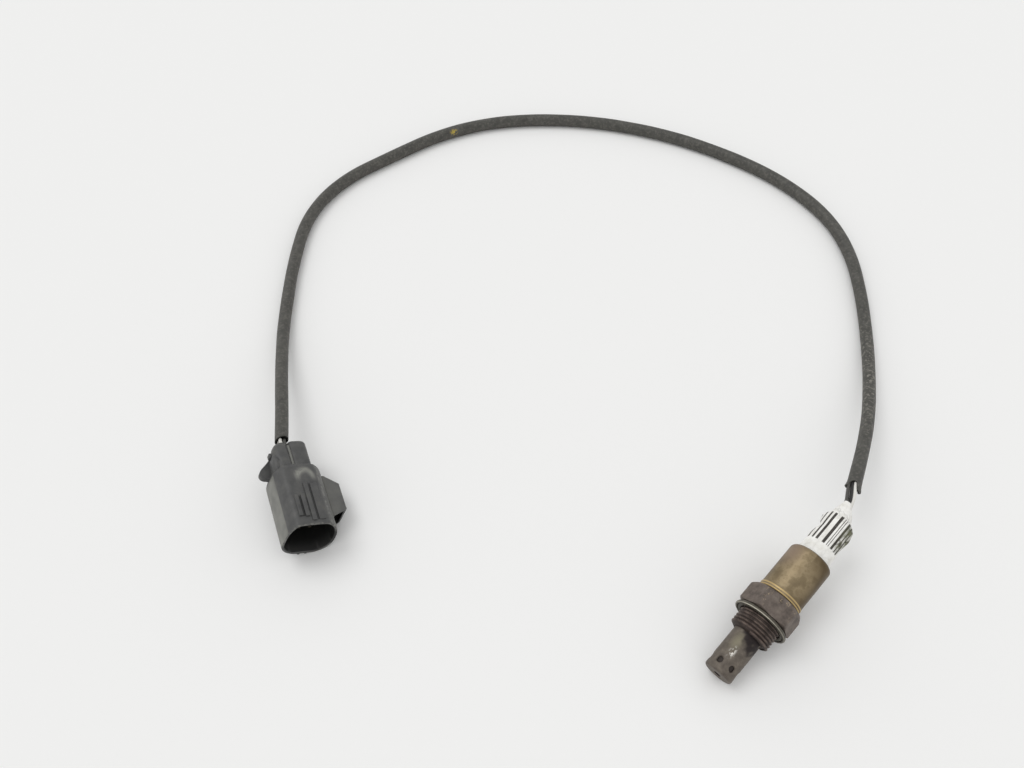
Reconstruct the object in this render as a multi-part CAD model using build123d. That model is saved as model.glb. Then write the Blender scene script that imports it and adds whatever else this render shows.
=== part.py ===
from build123d import *
import os
from math import asin, atan2, cos, degrees, hypot, pi, radians, sin, tan

# Exhaust oxygen sensor with its sheathed lead and plug, lying on a flat surface.
# Millimetres, +Z up. The origin is the middle of the seal seat, where the hexagon meets the thread.
# The sensor points its tip along +X and leans nose down, on its tip and its gasket.

# Shell: hexagon, thread and the collar that carries the cover
across_flats = 22.0
hex_height = 9.5
hex_edge_rise = 1.7
hex_edge_run = 1.7
hex_clock_angle = 14.7
thread_diameter = 18.0
thread_length = 8.2
thread_lead_in = 0.9
relief_diameter = 16.2
relief_length = 2.9
pilot_diameter = 16.2
pilot_length = 1.2
nose_diameter = 13.8
nose_length = 0.8
throat_diameter = 8.4
throat_length = 3.0
chamber_diameter = 11.6
collar_length = 4.7
lip_thickness = 0.9
lip_bore = 8.6
collar_edge_break = 0.3

# Loose folded gasket ring
gasket_clearance = 0.2
gasket_ring_width = 2.85
gasket_thickness = 1.2
gasket_fold_depth = 0.5
gasket_fold_share = 0.19
gasket_edge_radius = 0.45
gasket_edge_share = 0.75
gasket_tilt = 3.5

# Protection tubes over the tip
tip_diameter = 12.5
tip_wall = 0.5
tip_reach = 30.0
tip_shoulder_radius = 1.0
tip_end_hole = 2.2
tip_side_hole = 2.8
tip_side_hole_inset = 4.2
tip_side_hole_count = 6
tip_side_hole_clock = 6.3
inner_tube_diameter = 8.8
inner_tube_wall = 0.4
inner_tube_gap = 2.6
inner_tube_end_hole = 1.6
inner_tube_side_hole = 1.6
inner_tube_side_hole_inset = 14.0
inner_flange_diameter = 12.3

# Ceramic element and what packs it into the shell
element_width = 3.8
element_thickness = 1.4
element_tip_gap = 1.6
element_tail = 8.0
front_bush_length = 5.2
talc_length = 4.0
crimp_ring_length = 1.0
crimp_ring_bore = 6.0

# Contacts behind the element
carrier_diameter = 13.0
carrier_length = 9.0
carrier_gap = 1.5
carrier_slot_height = 2.8
carrier_slot_width = 4.6
contact_width = 1.3
contact_thickness = 0.35
contact_spacing = 2.1
contact_barrel_length = 3.0
contact_barrel_wall = 0.35
contact_barrel_gap = 0.6
spring_ring_wall = 0.4
spring_ring_length = 4.0
spring_fin_width = 1.2
spring_fin_count = 6

# Rear cover with its weld band
cover_diameter = 19.0
cover_wall = 0.5
cover_length = 24.0
cover_front_gap = 0.15
cover_corner_radius = 2.0
cover_mouth = 14.7
weld_band_rise = 0.3
weld_band_length = 2.6

# Grommet with its long neck, and the paper wrap over it
grommet_body_length = 4.6
grommet_neck_length = 21.0
grommet_neck_end_diameter = 11.6
grommet_hole_spacing = 3.4
label_diameter = 14.5
label_wall = 0.35
label_straight_length = 17.0
label_shoulder_length = 5.5
label_shoulder_diameter = 13.2
label_drop_length = 3.0
label_drop_diameter = 7.4
label_cone_length = 5.5
label_end_diameter = 5.0

# Lead wires
wire_diameter = 1.5
wire_spacing = 1.8
lead_straight_end = 3.0
plug_straight_end = 1.0
wire_bend_share = 0.3

# Sheathed lead
sheath_diameter = 7.0
sheath_arc_share = 0.45
# Middle of the sheath, from its mouth behind the sensor to its end behind the plug
sheath_route = [
    (-73.0, -6.0, 9.5),
    (-92.0, -12.0, 6.0),
    (-117.0, -21.0, 1.0),
    (-142.0, -33.0, -5.0),
    (-169.0, -49.0, -8.7),
    (-197.0, -69.5, -8.7),
    (-222.0, -92.0, -8.7),
    (-239.0, -119.0, -8.7),
    (-246.0, -156.0, -8.7),
    (-242.0, -196.0, -8.7),
    (-230.0, -238.0, -8.7),
    (-206.0, -281.0, -8.7),
    (-170.0, -318.0, -8.7),
    (-132.0, -337.0, -8.7),
    (-92.0, -343.0, -8.7),
    (-56.0, -347.0, -8.7),
    (-22.0, -337.0, -8.7),
    (8.0, -311.0, -8.7),
    (33.1, -284.3, -8.7),
    (45.2, -269.8, -7.2),
    (57.0, -253.3, -3.2),
    (68.1, -236.7, 1.5),
    (78.6, -220.8, 5.0),
    (88.7, -206.5, 7.3),
]

# Plug housing, with its mouth towards its own +X and its bracket on its own +Y
plug_yaw = 66.4
plug_centre_x = 102.2
plug_centre_y = -176.2
housing_width = 22.5
housing_height = 23.0
housing_length = 33.2
housing_corner_radius = 7.5
housing_wall = 1.2
mouth_depth = 18.5
web_thickness = 4.0
bracket_width = 6.8
bracket_drop = 5.4
bracket_front_inset = 9.4
bracket_length = 19.7
bracket_slope_length = 4.7
bracket_top_inset = 6.3
bracket_wall = 1.3
bracket_corner_radius = 2.0
bracket_edge_radius = 0.8
rib_height = 0.5
rib_width = 2.1
rib_length = 20.0
rib_offset = 0.7
rib_mouth_inset = 1.6
short_rib_width = 2.0
short_rib_length = 12.0
short_rib_offset = -4.4
short_rib_mouth_inset = 4.6
ramp_length = 5.5
ramp_height = 0.9
ramp_width = 7.4
ear_reach = 3.4
ear_front_inset = 1.4
ear_rear_reach = 4.0
ear_web_reach = 11.0
ear_web_inset = 2.7
ear_height = 2.6
ear_radius = 2.6

# Rear cap of the plug, in two lobes
cap_length = 13.8
cap_height = 8.2
cap_top = 10.3
cap_wide_lobe = 7.5
cap_narrow_lobe = 8.1
cap_seam_offset = 1.4
cap_seam_overlap = 0.9
cap_wide_radius = 3.5
cap_narrow_radius = 2.2
cap_end_radius = 1.6
cap_wall = 1.2
cap_base_length = 12.0
cap_base_reach = 7.8
cap_base_depth = 15.0
cap_entry_offset = 2.8
cap_entry_height = 6.2
cap_entry_diameter = 5.0
cap_wire_spacing = 2.3

# Terminals, seals and lock inside the plug
terminal_spacing = 5.0
blade_width = 1.5
blade_thickness = 0.8
blade_reach = 11.0
root_size = 2.2
root_length = 3.0
barrel_diameter = 2.4
barrel_length = 3.2
seal_bore_diameter = 3.8
seal_length = 3.8
seal_end_inset = 0.3
lock_thickness = 1.5

# Clearances and cutting overrun
fit_gap = 0.05
slide_gap = 0.1
overrun = 1.0

# Places along the sensor's axis, from the seal seat
half = 1 / 2
hex_rear_x = -hex_height
nose_x = thread_length + pilot_length + nose_length
tube_seat_depth = pilot_length + nose_length + thread_lead_in + inner_tube_wall
throat_front_x = nose_x - tube_seat_depth
chamber_front_x = throat_front_x - throat_length
collar_rear_x = hex_rear_x - collar_length
chamber_rear_x = collar_rear_x + lip_thickness
talc_front_x = chamber_front_x - front_bush_length
rear_bush_front_x = talc_front_x - talc_length
crimp_front_x = chamber_rear_x + crimp_ring_length
inner_tube_end_x = tip_reach - inner_tube_gap
element_tip_x = inner_tube_end_x - inner_tube_wall - element_tip_gap
carrier_front_x = collar_rear_x - carrier_gap
carrier_rear_x = carrier_front_x - carrier_length
element_tail_x = carrier_front_x - element_tail
cover_front_x = hex_rear_x - cover_front_gap
cover_rear_x = cover_front_x - cover_length
cover_wall_x = cover_rear_x + cover_wall
neck_end_x = cover_wall_x - grommet_neck_length
label_shoulder_x = cover_wall_x - label_straight_length
label_drop_x = label_shoulder_x - label_shoulder_length
label_cone_x = label_drop_x - label_drop_length
label_end_x = label_cone_x - label_cone_length
cover_bore = cover_diameter - 2 * cover_wall
collar_diameter = cover_bore - 2 * fit_gap
neck_diameter = label_diameter - 2 * label_wall - 2 * fit_gap
barrel_front_x = carrier_rear_x - contact_barrel_gap
barrel_rear_x = barrel_front_x - contact_barrel_length

# The gasket slips over the thread, and its rounded edges stay within the flat beside its fold
gasket_bore = thread_diameter + 2 * gasket_clearance
gasket_diameter = gasket_bore + 2 * gasket_ring_width
gasket_fold_reach = gasket_ring_width * gasket_fold_share
gasket_land = gasket_ring_width * half - gasket_fold_reach
gasket_edge = min(gasket_edge_radius, gasket_land * gasket_edge_share)

# Rest on the surface: the tip's shoulder and the gasket's rim both touch it
gasket_swing = gasket_diameter * half * tan(radians(gasket_tilt))
gasket_middle_x = gasket_swing + gasket_thickness * half / cos(radians(gasket_tilt))
gasket_low_x = gasket_middle_x + gasket_swing
rest_run = tip_reach - tip_shoulder_radius - gasket_low_x
rest_rise = (gasket_diameter - tip_diameter) * half - gasket_edge + tip_shoulder_radius
rest_step = gasket_edge - tip_shoulder_radius
nose_down_angle = degrees(atan2(rest_rise, rest_run) + asin(rest_step / hypot(rest_run, rest_rise)))
nose_drop = (tip_reach - tip_shoulder_radius) * sin(radians(nose_down_angle))
tip_drop = (tip_diameter * half - tip_shoulder_radius) * cos(radians(nose_down_angle))
floor_z = -nose_drop - tip_drop - tip_shoulder_radius

# Rest of the plug: its lower corner and its bracket's lower edge touch the surface
corner_y = housing_width * half - housing_corner_radius
corner_z = housing_height * half - housing_corner_radius
corner_run = housing_width * half + bracket_width - bracket_corner_radius - corner_y
corner_rise = corner_z - (housing_height * half - bracket_drop - bracket_corner_radius)
corner_step = housing_corner_radius - bracket_corner_radius
plug_roll = degrees(atan2(corner_rise, corner_run) + asin(corner_step / hypot(corner_run, corner_rise)))
plug_height = corner_y * sin(radians(plug_roll)) + corner_z * cos(radians(plug_roll)) + housing_corner_radius
plug_mouth_x = housing_length * half
plug_rear_x = -housing_length * half
web_front_x = plug_mouth_x - mouth_depth
web_rear_x = web_front_x - web_thickness
cap_rear_x = plug_rear_x - cap_length

sensor_place = Rot(0, nose_down_angle, 0)
plug_place = Pos(plug_centre_x, plug_centre_y, floor_z + plug_height) * Rot(0, 0, plug_yaw) * Rot(-plug_roll, 0, 0)
square_corners = [(1, 1), (-1, 1), (1, -1), (-1, -1)]


def turned(outline):
    """Solid of revolution about the X axis, from points of place and radius."""
    return revolve(make_face(Plane.XZ * Polyline(*outline, close=True)), Axis.X)


def rod(start_x, end_x, diameter):
    """Cylinder along the X axis between two places."""
    middle = (start_x + end_x) * half
    return Pos(middle, 0, 0) * Rot(0, 90, 0) * Cylinder(diameter * half, abs(end_x - start_x))


def bar(start_x, end_x, width, height):
    """Block along the X axis between two places."""
    middle = (start_x + end_x) * half
    return Pos(middle, 0, 0) * Box(abs(end_x - start_x), width, height)


def shell_housing():
    thread_r = thread_diameter * half
    pilot_r = pilot_diameter * half
    relief_r = relief_diameter * half
    lead_x = thread_length - thread_lead_in
    body = turned([
        (nose_x, 0),
        (nose_x, nose_diameter * half),
        (nose_x - nose_length, pilot_r),
        (thread_length, pilot_r),
        (lead_x, thread_r),
        (relief_length, thread_r),
        (relief_length, relief_r),
        (hex_rear_x, relief_r),
        (hex_rear_x, collar_diameter * half),
        (collar_rear_x + collar_edge_break, collar_diameter * half),
        (collar_rear_x, collar_diameter * half - collar_edge_break),
        (collar_rear_x, 0),
    ])
    corner_r = across_flats / cos(radians(30)) * half
    low_r = corner_r - hex_edge_rise
    prism = extrude(Plane.YZ * RegularPolygon(corner_r, 6), -hex_height)
    turned_edges = turned([
        (0, 0),
        (0, low_r),
        (-hex_edge_run * half, corner_r),
        (hex_rear_x + hex_edge_run, corner_r),
        (hex_rear_x, low_r),
        (hex_rear_x, 0),
    ])
    nut = Rot(90 + hex_clock_angle, 0, 0) * (prism & turned_edges)
    body += nut
    body -= rod(nose_x + overrun, throat_front_x, tip_diameter + 2 * fit_gap)
    body -= rod(nose_x, collar_rear_x, throat_diameter)
    body -= rod(chamber_front_x, chamber_rear_x, chamber_diameter)
    body -= rod(chamber_rear_x, collar_rear_x - overrun, lip_bore)
    return sensor_place * body


def seal_gasket():
    inner_r = gasket_bore * half
    outer_r = gasket_diameter * half
    front = gasket_thickness * half
    fold_x = front - gasket_fold_depth
    fold_r = (inner_r + outer_r) * half
    ring = turned([
        (-front, inner_r),
        (-front, outer_r),
        (front, outer_r),
        (front, fold_r + gasket_fold_reach),
        (fold_x, fold_r),
        (front, fold_r - gasket_fold_reach),
        (front, inner_r),
    ])
    ring = fillet(ring.edges().filter_by(GeomType.CIRCLE).sort_by(SortBy.RADIUS)[-2:], gasket_edge)
    return sensor_place * Pos(gasket_middle_x, 0, 0) * Rot(0, -gasket_tilt, 0) * ring


def outer_protection_tube():
    rear_x = throat_front_x + inner_tube_wall
    tube = rod(rear_x, tip_reach, tip_diameter)
    tube = fillet(tube.edges().group_by(Axis.X)[-1], tip_shoulder_radius)
    tube -= rod(rear_x - overrun, tip_reach - tip_wall, tip_diameter - 2 * tip_wall)
    tube -= rod(tip_reach - tip_wall - overrun, tip_reach + overrun, tip_end_hole)
    drill = Cylinder(tip_side_hole * half, tip_diameter, align=(Align.CENTER, Align.CENTER, Align.MIN))
    hole_x = tip_reach - tip_side_hole_inset
    for number in range(tip_side_hole_count):
        turn = (number + half) * 360 / tip_side_hole_count - tip_side_hole_clock
        tube -= Rot(turn, 0, 0) * Pos(hole_x, 0, 0) * drill
    return sensor_place * tube


def inner_protection_tube():
    inner_r = inner_tube_diameter * half
    cup = turned([
        (throat_front_x, inner_r - inner_tube_wall),
        (throat_front_x, inner_flange_diameter * half),
        (throat_front_x + inner_tube_wall, inner_flange_diameter * half),
        (throat_front_x + inner_tube_wall, inner_r),
        (inner_tube_end_x, inner_r),
        (inner_tube_end_x, inner_tube_end_hole * half),
        (inner_tube_end_x - inner_tube_wall, inner_tube_end_hole * half),
        (inner_tube_end_x - inner_tube_wall, inner_r - inner_tube_wall),
    ])
    drill = Cylinder(inner_tube_side_hole * half, inner_tube_diameter, align=(Align.CENTER, Align.CENTER, Align.MIN))
    hole_x = inner_tube_end_x - inner_tube_side_hole_inset
    for number in range(tip_side_hole_count):
        turn = number * 360 / tip_side_hole_count
        cup -= Rot(turn, 0, 0) * Pos(hole_x, 0, 0) * drill
    return sensor_place * cup


def sensing_element():
    return sensor_place * bar(element_tail_x, element_tip_x, element_width, element_thickness)


def packing_ring(front_x, rear_x):
    """Ring in the shell's chamber with a slot for the element."""
    ring = rod(front_x, rear_x, chamber_diameter - 2 * fit_gap)
    slot_width = element_width + 2 * fit_gap
    slot_height = element_thickness + 2 * fit_gap
    return ring - bar(front_x + overrun, rear_x - overrun, slot_width, slot_height)


def front_ceramic_bush():
    return sensor_place * packing_ring(chamber_front_x, talc_front_x)


def talc_ring():
    return sensor_place * packing_ring(talc_front_x, rear_bush_front_x)


def rear_ceramic_bush():
    return sensor_place * packing_ring(rear_bush_front_x, crimp_front_x)


def crimp_ring():
    ring = rod(crimp_front_x, chamber_rear_x, chamber_diameter - 2 * fit_gap)
    return sensor_place * (ring - rod(crimp_front_x + overrun, chamber_rear_x - overrun, crimp_ring_bore))


def contact_carrier():
    block = rod(carrier_front_x, carrier_rear_x, carrier_diameter)
    block -= bar(carrier_front_x + overrun, carrier_rear_x - overrun, carrier_slot_width, carrier_slot_height)
    return sensor_place * block


def contact_strip(side_y, side_z):
    strip_y = side_y * contact_spacing * half
    strip_z = side_z * (element_thickness + contact_thickness) * half
    barrel_y = side_y * grommet_hole_spacing * half
    barrel_z = side_z * grommet_hole_spacing * half
    bore = wire_diameter + 2 * fit_gap
    outer = bore + 2 * contact_barrel_wall
    strip = Pos(0, strip_y, strip_z) * bar(carrier_front_x, barrel_rear_x, contact_width, contact_thickness)
    link_height = abs(barrel_z - strip_z)
    link = bar(barrel_front_x, barrel_rear_x, contact_thickness, link_height)
    strip += Pos(0, barrel_y - side_y * contact_thickness, (barrel_z + strip_z) * half) * link
    strip += Pos(0, barrel_y, barrel_z) * rod(barrel_front_x, barrel_rear_x, outer)
    strip -= Pos(0, barrel_y, barrel_z) * rod(barrel_front_x + overrun, barrel_rear_x - overrun, bore)
    return sensor_place * strip


def carrier_spring():
    bore = carrier_diameter + 2 * fit_gap
    outer = bore + 2 * spring_ring_wall
    middle_x = (carrier_front_x + carrier_rear_x) * half
    front_x = middle_x + spring_ring_length * half
    rear_x = middle_x - spring_ring_length * half
    ring = rod(front_x, rear_x, outer)
    fin_height = (cover_bore - outer) * half - fit_gap + spring_ring_wall * half
    fin_z = cover_bore * half - fit_gap - fin_height * half
    for number in range(spring_fin_count):
        fin = Pos(0, 0, fin_z) * bar(front_x, rear_x, spring_fin_width, fin_height)
        ring += Rot(number * 360 / spring_fin_count, 0, 0) * fin
    ring &= rod(front_x, rear_x, cover_bore - 2 * fit_gap)
    return sensor_place * (ring - rod(front_x + overrun, rear_x - overrun, bore))


def rear_cover():
    cover = rod(cover_front_x, cover_rear_x, cover_diameter)
    cover = fillet(cover.edges().group_by(Axis.X)[0], cover_corner_radius)
    cover += rod(cover_front_x, cover_front_x - weld_band_length, cover_diameter + 2 * weld_band_rise)
    hollow = rod(cover_front_x, cover_wall_x, cover_bore)
    hollow = fillet(hollow.edges().group_by(Axis.X)[0], cover_corner_radius - cover_wall)
    cover -= hollow
    return sensor_place * (cover - rod(cover_wall_x + overrun, cover_rear_x - overrun, cover_mouth))


def wire_grommet():
    body_r = cover_bore * half - fit_gap
    corner = cover_corner_radius - cover_wall
    plug_body = turned([
        (cover_wall_x + grommet_body_length, 0),
        (cover_wall_x + grommet_body_length, body_r),
        (cover_wall_x + corner, body_r),
        (cover_wall_x, body_r - corner),
        (cover_wall_x, neck_diameter * half),
        (label_shoulder_x, neck_diameter * half),
        (neck_end_x, grommet_neck_end_diameter * half),
        (neck_end_x, 0),
    ])
    for side_y, side_z in square_corners:
        hole = rod(cover_wall_x + grommet_body_length + overrun, neck_end_x - overrun, wire_diameter + 2 * fit_gap)
        plug_body -= Pos(0, side_y * grommet_hole_spacing * half, side_z * grommet_hole_spacing * half) * hole
    return sensor_place * plug_body


def paper_label():
    outer = [
        (cover_wall_x, label_diameter * half),
        (label_shoulder_x, label_diameter * half),
        (label_drop_x, label_shoulder_diameter * half),
        (label_cone_x, label_drop_diameter * half),
        (label_end_x, label_end_diameter * half),
    ]
    inner = [
        (label_end_x, label_end_diameter * half - label_wall),
        (label_cone_x, label_drop_diameter * half - label_wall),
        (label_drop_x + label_wall, label_shoulder_diameter * half - label_wall),
        (label_shoulder_x, label_diameter * half - label_wall),
        (cover_wall_x, label_diameter * half - label_wall),
    ]
    return sensor_place * turned(outer + inner)


def bent_rod(points, diameter, bend_share):
    """Round rod along straight runs joined by tangent arcs."""
    nodes = [Vector(*point) for point in points]
    radii = []
    for before, here, after in zip(nodes, nodes[1:], nodes[2:]):
        turn = (here - before).get_angle(after - here)
        shorter = min((here - before).length, (after - here).length)
        radii.append(bend_share * shorter / tan(radians(turn) * half))
    path = FilletPolyline(*nodes, radius=radii)
    rod_body = sweep(Plane(origin=path @ 0, z_dir=path % 0) * Circle(diameter * half), path=path)
    return rod_body, path, radii


def sheath_entry(end, inner, offset_side, offset_up, roll, straight_end):
    """Last two points of a wire that runs straight into an end of the sheath."""
    inward = (inner - end).normalized()
    sideways = inward.cross(Vector(0, 0, 1)).normalized()
    upward = sideways.cross(inward).normalized()
    across = sideways * cos(radians(roll)) + upward * sin(radians(roll))
    over = upward * cos(radians(roll)) - sideways * sin(radians(roll))
    place = end + across * offset_side + over * offset_up
    return [place - inward * straight_end, place]


def lead_wire(side_y, side_z):
    hole = grommet_hole_spacing * half
    near = wire_spacing * half
    inside = [
        (barrel_front_x, side_y * hole, side_z * hole),
        (neck_end_x - wire_diameter, side_y * hole, side_z * hole),
        (label_cone_x, side_y * near, side_z * near),
        (label_end_x - wire_diameter, side_y * near, side_z * near),
    ]
    route = [(sensor_place * Pos(*point)).position for point in inside]
    end, inner = Vector(*sheath_route[0]), Vector(*sheath_route[1])
    route += sheath_entry(end, inner, side_y * near, side_z * near, 0, lead_straight_end)
    return bent_rod(route, wire_diameter, wire_bend_share)[0]


def cable_sheath():
    return bent_rod(sheath_route, sheath_diameter, sheath_arc_share)[0]


def rounded_block(start_x, end_x, width, height, corner_radius):
    """Block along the X axis with rounded long edges."""
    section = Plane.YZ * RectangleRounded(width, height, corner_radius)
    return Pos(min(start_x, end_x), 0, 0) * extrude(section, abs(end_x - start_x))


def bracket():
    inner_y = housing_width * half - housing_wall
    outer_y = housing_width * half + bracket_width
    front_x = plug_mouth_x - bracket_front_inset
    rear_x = front_x - bracket_length
    bottom_z = -housing_height * half + bracket_drop
    top_z = housing_height * half - bracket_top_inset
    plan = make_face(Polyline(
        (front_x, inner_y),
        (front_x, outer_y),
        (rear_x + bracket_slope_length, outer_y),
        (rear_x, housing_width * half),
        (rear_x, inner_y),
        close=True,
    ))
    block = Pos(0, 0, bottom_z) * extrude(plan, top_z - bottom_z)
    long_edges = block.edges().filter_by(Axis.X).filter_by(lambda e: e.center().Y > outer_y - overrun * half)
    block = fillet(long_edges.sort_by(Axis.Z)[0], bracket_corner_radius)
    top_edge = block.edges().filter_by(Axis.X).filter_by(lambda e: e.center().Y > outer_y - overrun * half)
    block = fillet(top_edge.sort_by(Axis.Z)[-1], bracket_edge_radius)
    slot_y0 = housing_width * half
    slot_y1 = outer_y - bracket_wall
    slot_z0 = bottom_z + bracket_wall
    slot_z1 = top_z - bracket_wall
    slot_length = bracket_length - bracket_slope_length - bracket_wall
    slot = Box(slot_length + overrun, slot_y1 - slot_y0, slot_z1 - slot_z0)
    slot_x = front_x + overrun - (slot_length + overrun) * half
    return block - Pos(slot_x, (slot_y0 + slot_y1) * half, (slot_z0 + slot_z1) * half) * slot


def ear():
    side_y = -housing_width * half
    outer_y = side_y - ear_reach
    root_y = -cap_base_reach - slide_gap
    web_x = plug_rear_x - ear_web_reach
    top_z = cap_top - cap_height - fit_gap
    plan = make_face(Polyline(
        (plug_rear_x + ear_front_inset, root_y),
        (plug_rear_x + ear_front_inset, outer_y),
        (plug_rear_x - ear_rear_reach, outer_y),
        (web_x, side_y + ear_web_inset),
        (web_x, root_y),
        close=True,
    ))
    plate = Pos(0, 0, top_z - ear_height) * extrude(plan, ear_height)
    outer_edges = plate.edges().filter_by(Axis.Z).group_by(Axis.Y)[0]
    return fillet(outer_edges, ear_radius)


def connector_housing():
    body = rounded_block(plug_rear_x, plug_mouth_x, housing_width, housing_height, housing_corner_radius)
    body += bracket()
    top_z = housing_height * half
    ribs = [
        (rib_width, rib_length, rib_offset, rib_mouth_inset),
        (short_rib_width, short_rib_length, short_rib_offset, short_rib_mouth_inset),
    ]
    for width, length, offset, inset in ribs:
        rib_x = plug_mouth_x - inset - length * half
        body += Pos(rib_x, offset, top_z) * Box(length, width, 2 * rib_height)
    ramp = make_face(Plane.XZ * Polyline(
        (plug_rear_x, top_z - ramp_height),
        (plug_rear_x, top_z + ramp_height),
        (plug_rear_x + ramp_length * half, top_z + ramp_height),
        (plug_rear_x + ramp_length, top_z - ramp_height),
        close=True,
    ))
    body += extrude(ramp, ramp_width * half, both=True)
    body += ear()
    inner_width = housing_width - 2 * housing_wall
    inner_height = housing_height - 2 * housing_wall
    inner_radius = housing_corner_radius - housing_wall
    body -= rounded_block(web_front_x, plug_mouth_x + overrun, inner_width, inner_height, inner_radius)
    for side_y, side_z in square_corners:
        place = Pos(0, side_y * terminal_spacing * half, side_z * terminal_spacing * half)
        body -= place * rod(plug_rear_x - overrun, web_rear_x, seal_bore_diameter)
        blade_hole = (blade_width + 2 * fit_gap, blade_thickness + 2 * fit_gap)
        body -= place * bar(web_rear_x - overrun, web_front_x + overrun, *blade_hole)
    return plug_place * body


def cap_lobe(start_y, end_y, corner_radius):
    """Lobe of the cap between two places across it, closed and rounded at its rear end."""
    middle_z = cap_top - cap_height * half
    lobe = rounded_block(cap_rear_x, plug_rear_x, end_y - start_y, cap_height, corner_radius)
    lobe = fillet(lobe.faces().sort_by(Axis.X)[0].edges(), cap_end_radius)
    return Pos(0, (start_y + end_y) * half, middle_z) * lobe


def rear_cap():
    middle_z = cap_top - cap_height * half
    left_y = -cap_seam_offset - cap_wide_lobe
    right_y = -cap_seam_offset + cap_narrow_lobe
    base_width = right_y + cap_base_reach
    base_y = (right_y - cap_base_reach) * half
    base_z = cap_top - cap_wall - cap_base_depth * half
    cap = cap_lobe(left_y, -cap_seam_offset + cap_seam_overlap, cap_wide_radius)
    cap += cap_lobe(-cap_seam_offset, right_y, cap_narrow_radius)
    cap += Pos(0, base_y, base_z) * bar(plug_rear_x - cap_base_length, plug_rear_x, base_width, cap_base_depth)
    hollow_width = right_y - left_y - 2 * cap_wall
    hollow_height = cap_height - 2 * cap_wall
    hollow_radius = cap_wide_radius - cap_wall
    front_x = plug_rear_x + overrun
    hollow = rounded_block(cap_rear_x + 2 * cap_wall, front_x, hollow_width, hollow_height, hollow_radius)
    cap -= Pos(0, (left_y + right_y) * half, middle_z) * hollow
    base_rear_x = plug_rear_x - cap_base_length + cap_wall
    base_hollow = bar(base_rear_x, front_x, base_width - 2 * cap_wall, cap_base_depth - 2 * cap_wall)
    cap -= Pos(0, base_y, base_z) * base_hollow
    entry = rod(cap_rear_x - overrun, cap_rear_x + 3 * cap_wall, cap_entry_diameter)
    cap -= Pos(0, -cap_entry_offset, cap_entry_height) * entry
    return plug_place * cap


def terminal_pin(side_y, side_z):
    place = Pos(0, side_y * terminal_spacing * half, side_z * terminal_spacing * half)
    root_rear_x = web_rear_x - root_length
    pin = bar(web_rear_x, web_front_x + blade_reach, blade_width, blade_thickness)
    tip = pin.edges().filter_by(Axis.X, reverse=True).group_by(Axis.X)[-1]
    pin = chamfer(tip, blade_thickness / 4)
    pin += bar(root_rear_x, web_rear_x, root_size, root_size)
    pin += rod(root_rear_x - barrel_length, root_rear_x, barrel_diameter)
    pin -= rod(root_rear_x - barrel_length - overrun, root_rear_x, wire_diameter + 2 * fit_gap)
    return plug_place * place * pin


def wire_seal(side_y, side_z):
    place = Pos(0, side_y * terminal_spacing * half, side_z * terminal_spacing * half)
    rear_x = plug_rear_x + seal_end_inset
    front_x = rear_x + seal_length
    seal = rod(rear_x, front_x, seal_bore_diameter - 2 * fit_gap)
    return plug_place * place * (seal - rod(rear_x - overrun, front_x + overrun, wire_diameter + 2 * fit_gap))


def terminal_lock():
    inner_width = housing_width - 2 * housing_wall - 2 * slide_gap
    inner_height = housing_height - 2 * housing_wall - 2 * slide_gap
    inner_radius = housing_corner_radius - housing_wall
    plate = rounded_block(web_front_x, web_front_x + lock_thickness, inner_width, inner_height, inner_radius)
    for side_y, side_z in square_corners:
        place = Pos(0, side_y * terminal_spacing * half, side_z * terminal_spacing * half)
        hole = (blade_width + 2 * slide_gap, blade_thickness + 2 * slide_gap)
        plate -= place * bar(web_front_x - overrun, web_front_x + lock_thickness + overrun, *hole)
    return plug_place * plate


def plug_wire(side_y, side_z):
    near = wire_spacing * half
    pitch = terminal_spacing * half
    spread = cap_wire_spacing * half
    barrel_x = web_rear_x - root_length - fit_gap
    inside = [
        (barrel_x, side_y * pitch, side_z * pitch),
        (plug_rear_x - 2 * cap_wall, side_y * pitch, side_z * pitch),
        (cap_rear_x + 3 * cap_wall, side_y * spread - cap_entry_offset, side_z * spread + cap_entry_height),
        (cap_rear_x, side_y * near - cap_entry_offset, side_z * near + cap_entry_height),
    ]
    route = [(plug_place * Pos(*point)).position for point in inside]
    end, inner = Vector(*sheath_route[-1]), Vector(*sheath_route[-2])
    route += sheath_entry(end, inner, side_y * near, side_z * near, -plug_roll, plug_straight_end)
    return bent_rod(route, wire_diameter, wire_bend_share)[0]


nodes = {
    "shell_housing": shell_housing(),
    "seal_gasket": seal_gasket(),
    "outer_protection_tube": outer_protection_tube(),
    "inner_protection_tube": inner_protection_tube(),
    "sensing_element": sensing_element(),
    "front_ceramic_bush": front_ceramic_bush(),
    "talc_ring": talc_ring(),
    "rear_ceramic_bush": rear_ceramic_bush(),
    "crimp_ring": crimp_ring(),
    "contact_carrier": contact_carrier(),
    "carrier_spring": carrier_spring(),
    "rear_cover": rear_cover(),
    "wire_grommet": wire_grommet(),
    "paper_label": paper_label(),
    "cable_sheath": cable_sheath(),
    "connector_housing": connector_housing(),
    "rear_cap": rear_cap(),
    "terminal_lock": terminal_lock(),
}
for number, (side_y, side_z) in enumerate(square_corners, 1):
    nodes[f"contact_strip_{number}"] = contact_strip(side_y, side_z)
    nodes[f"lead_wire_{number}"] = lead_wire(side_y, side_z)
    nodes[f"terminal_pin_{number}"] = terminal_pin(side_y, side_z)
    nodes[f"wire_seal_{number}"] = wire_seal(side_y, side_z)
    nodes[f"plug_wire_{number}"] = plug_wire(side_y, side_z)

os.makedirs("parts", exist_ok=True)
for name, solid in nodes.items():
    export_step(solid, f"parts/{name}.step")

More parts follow.
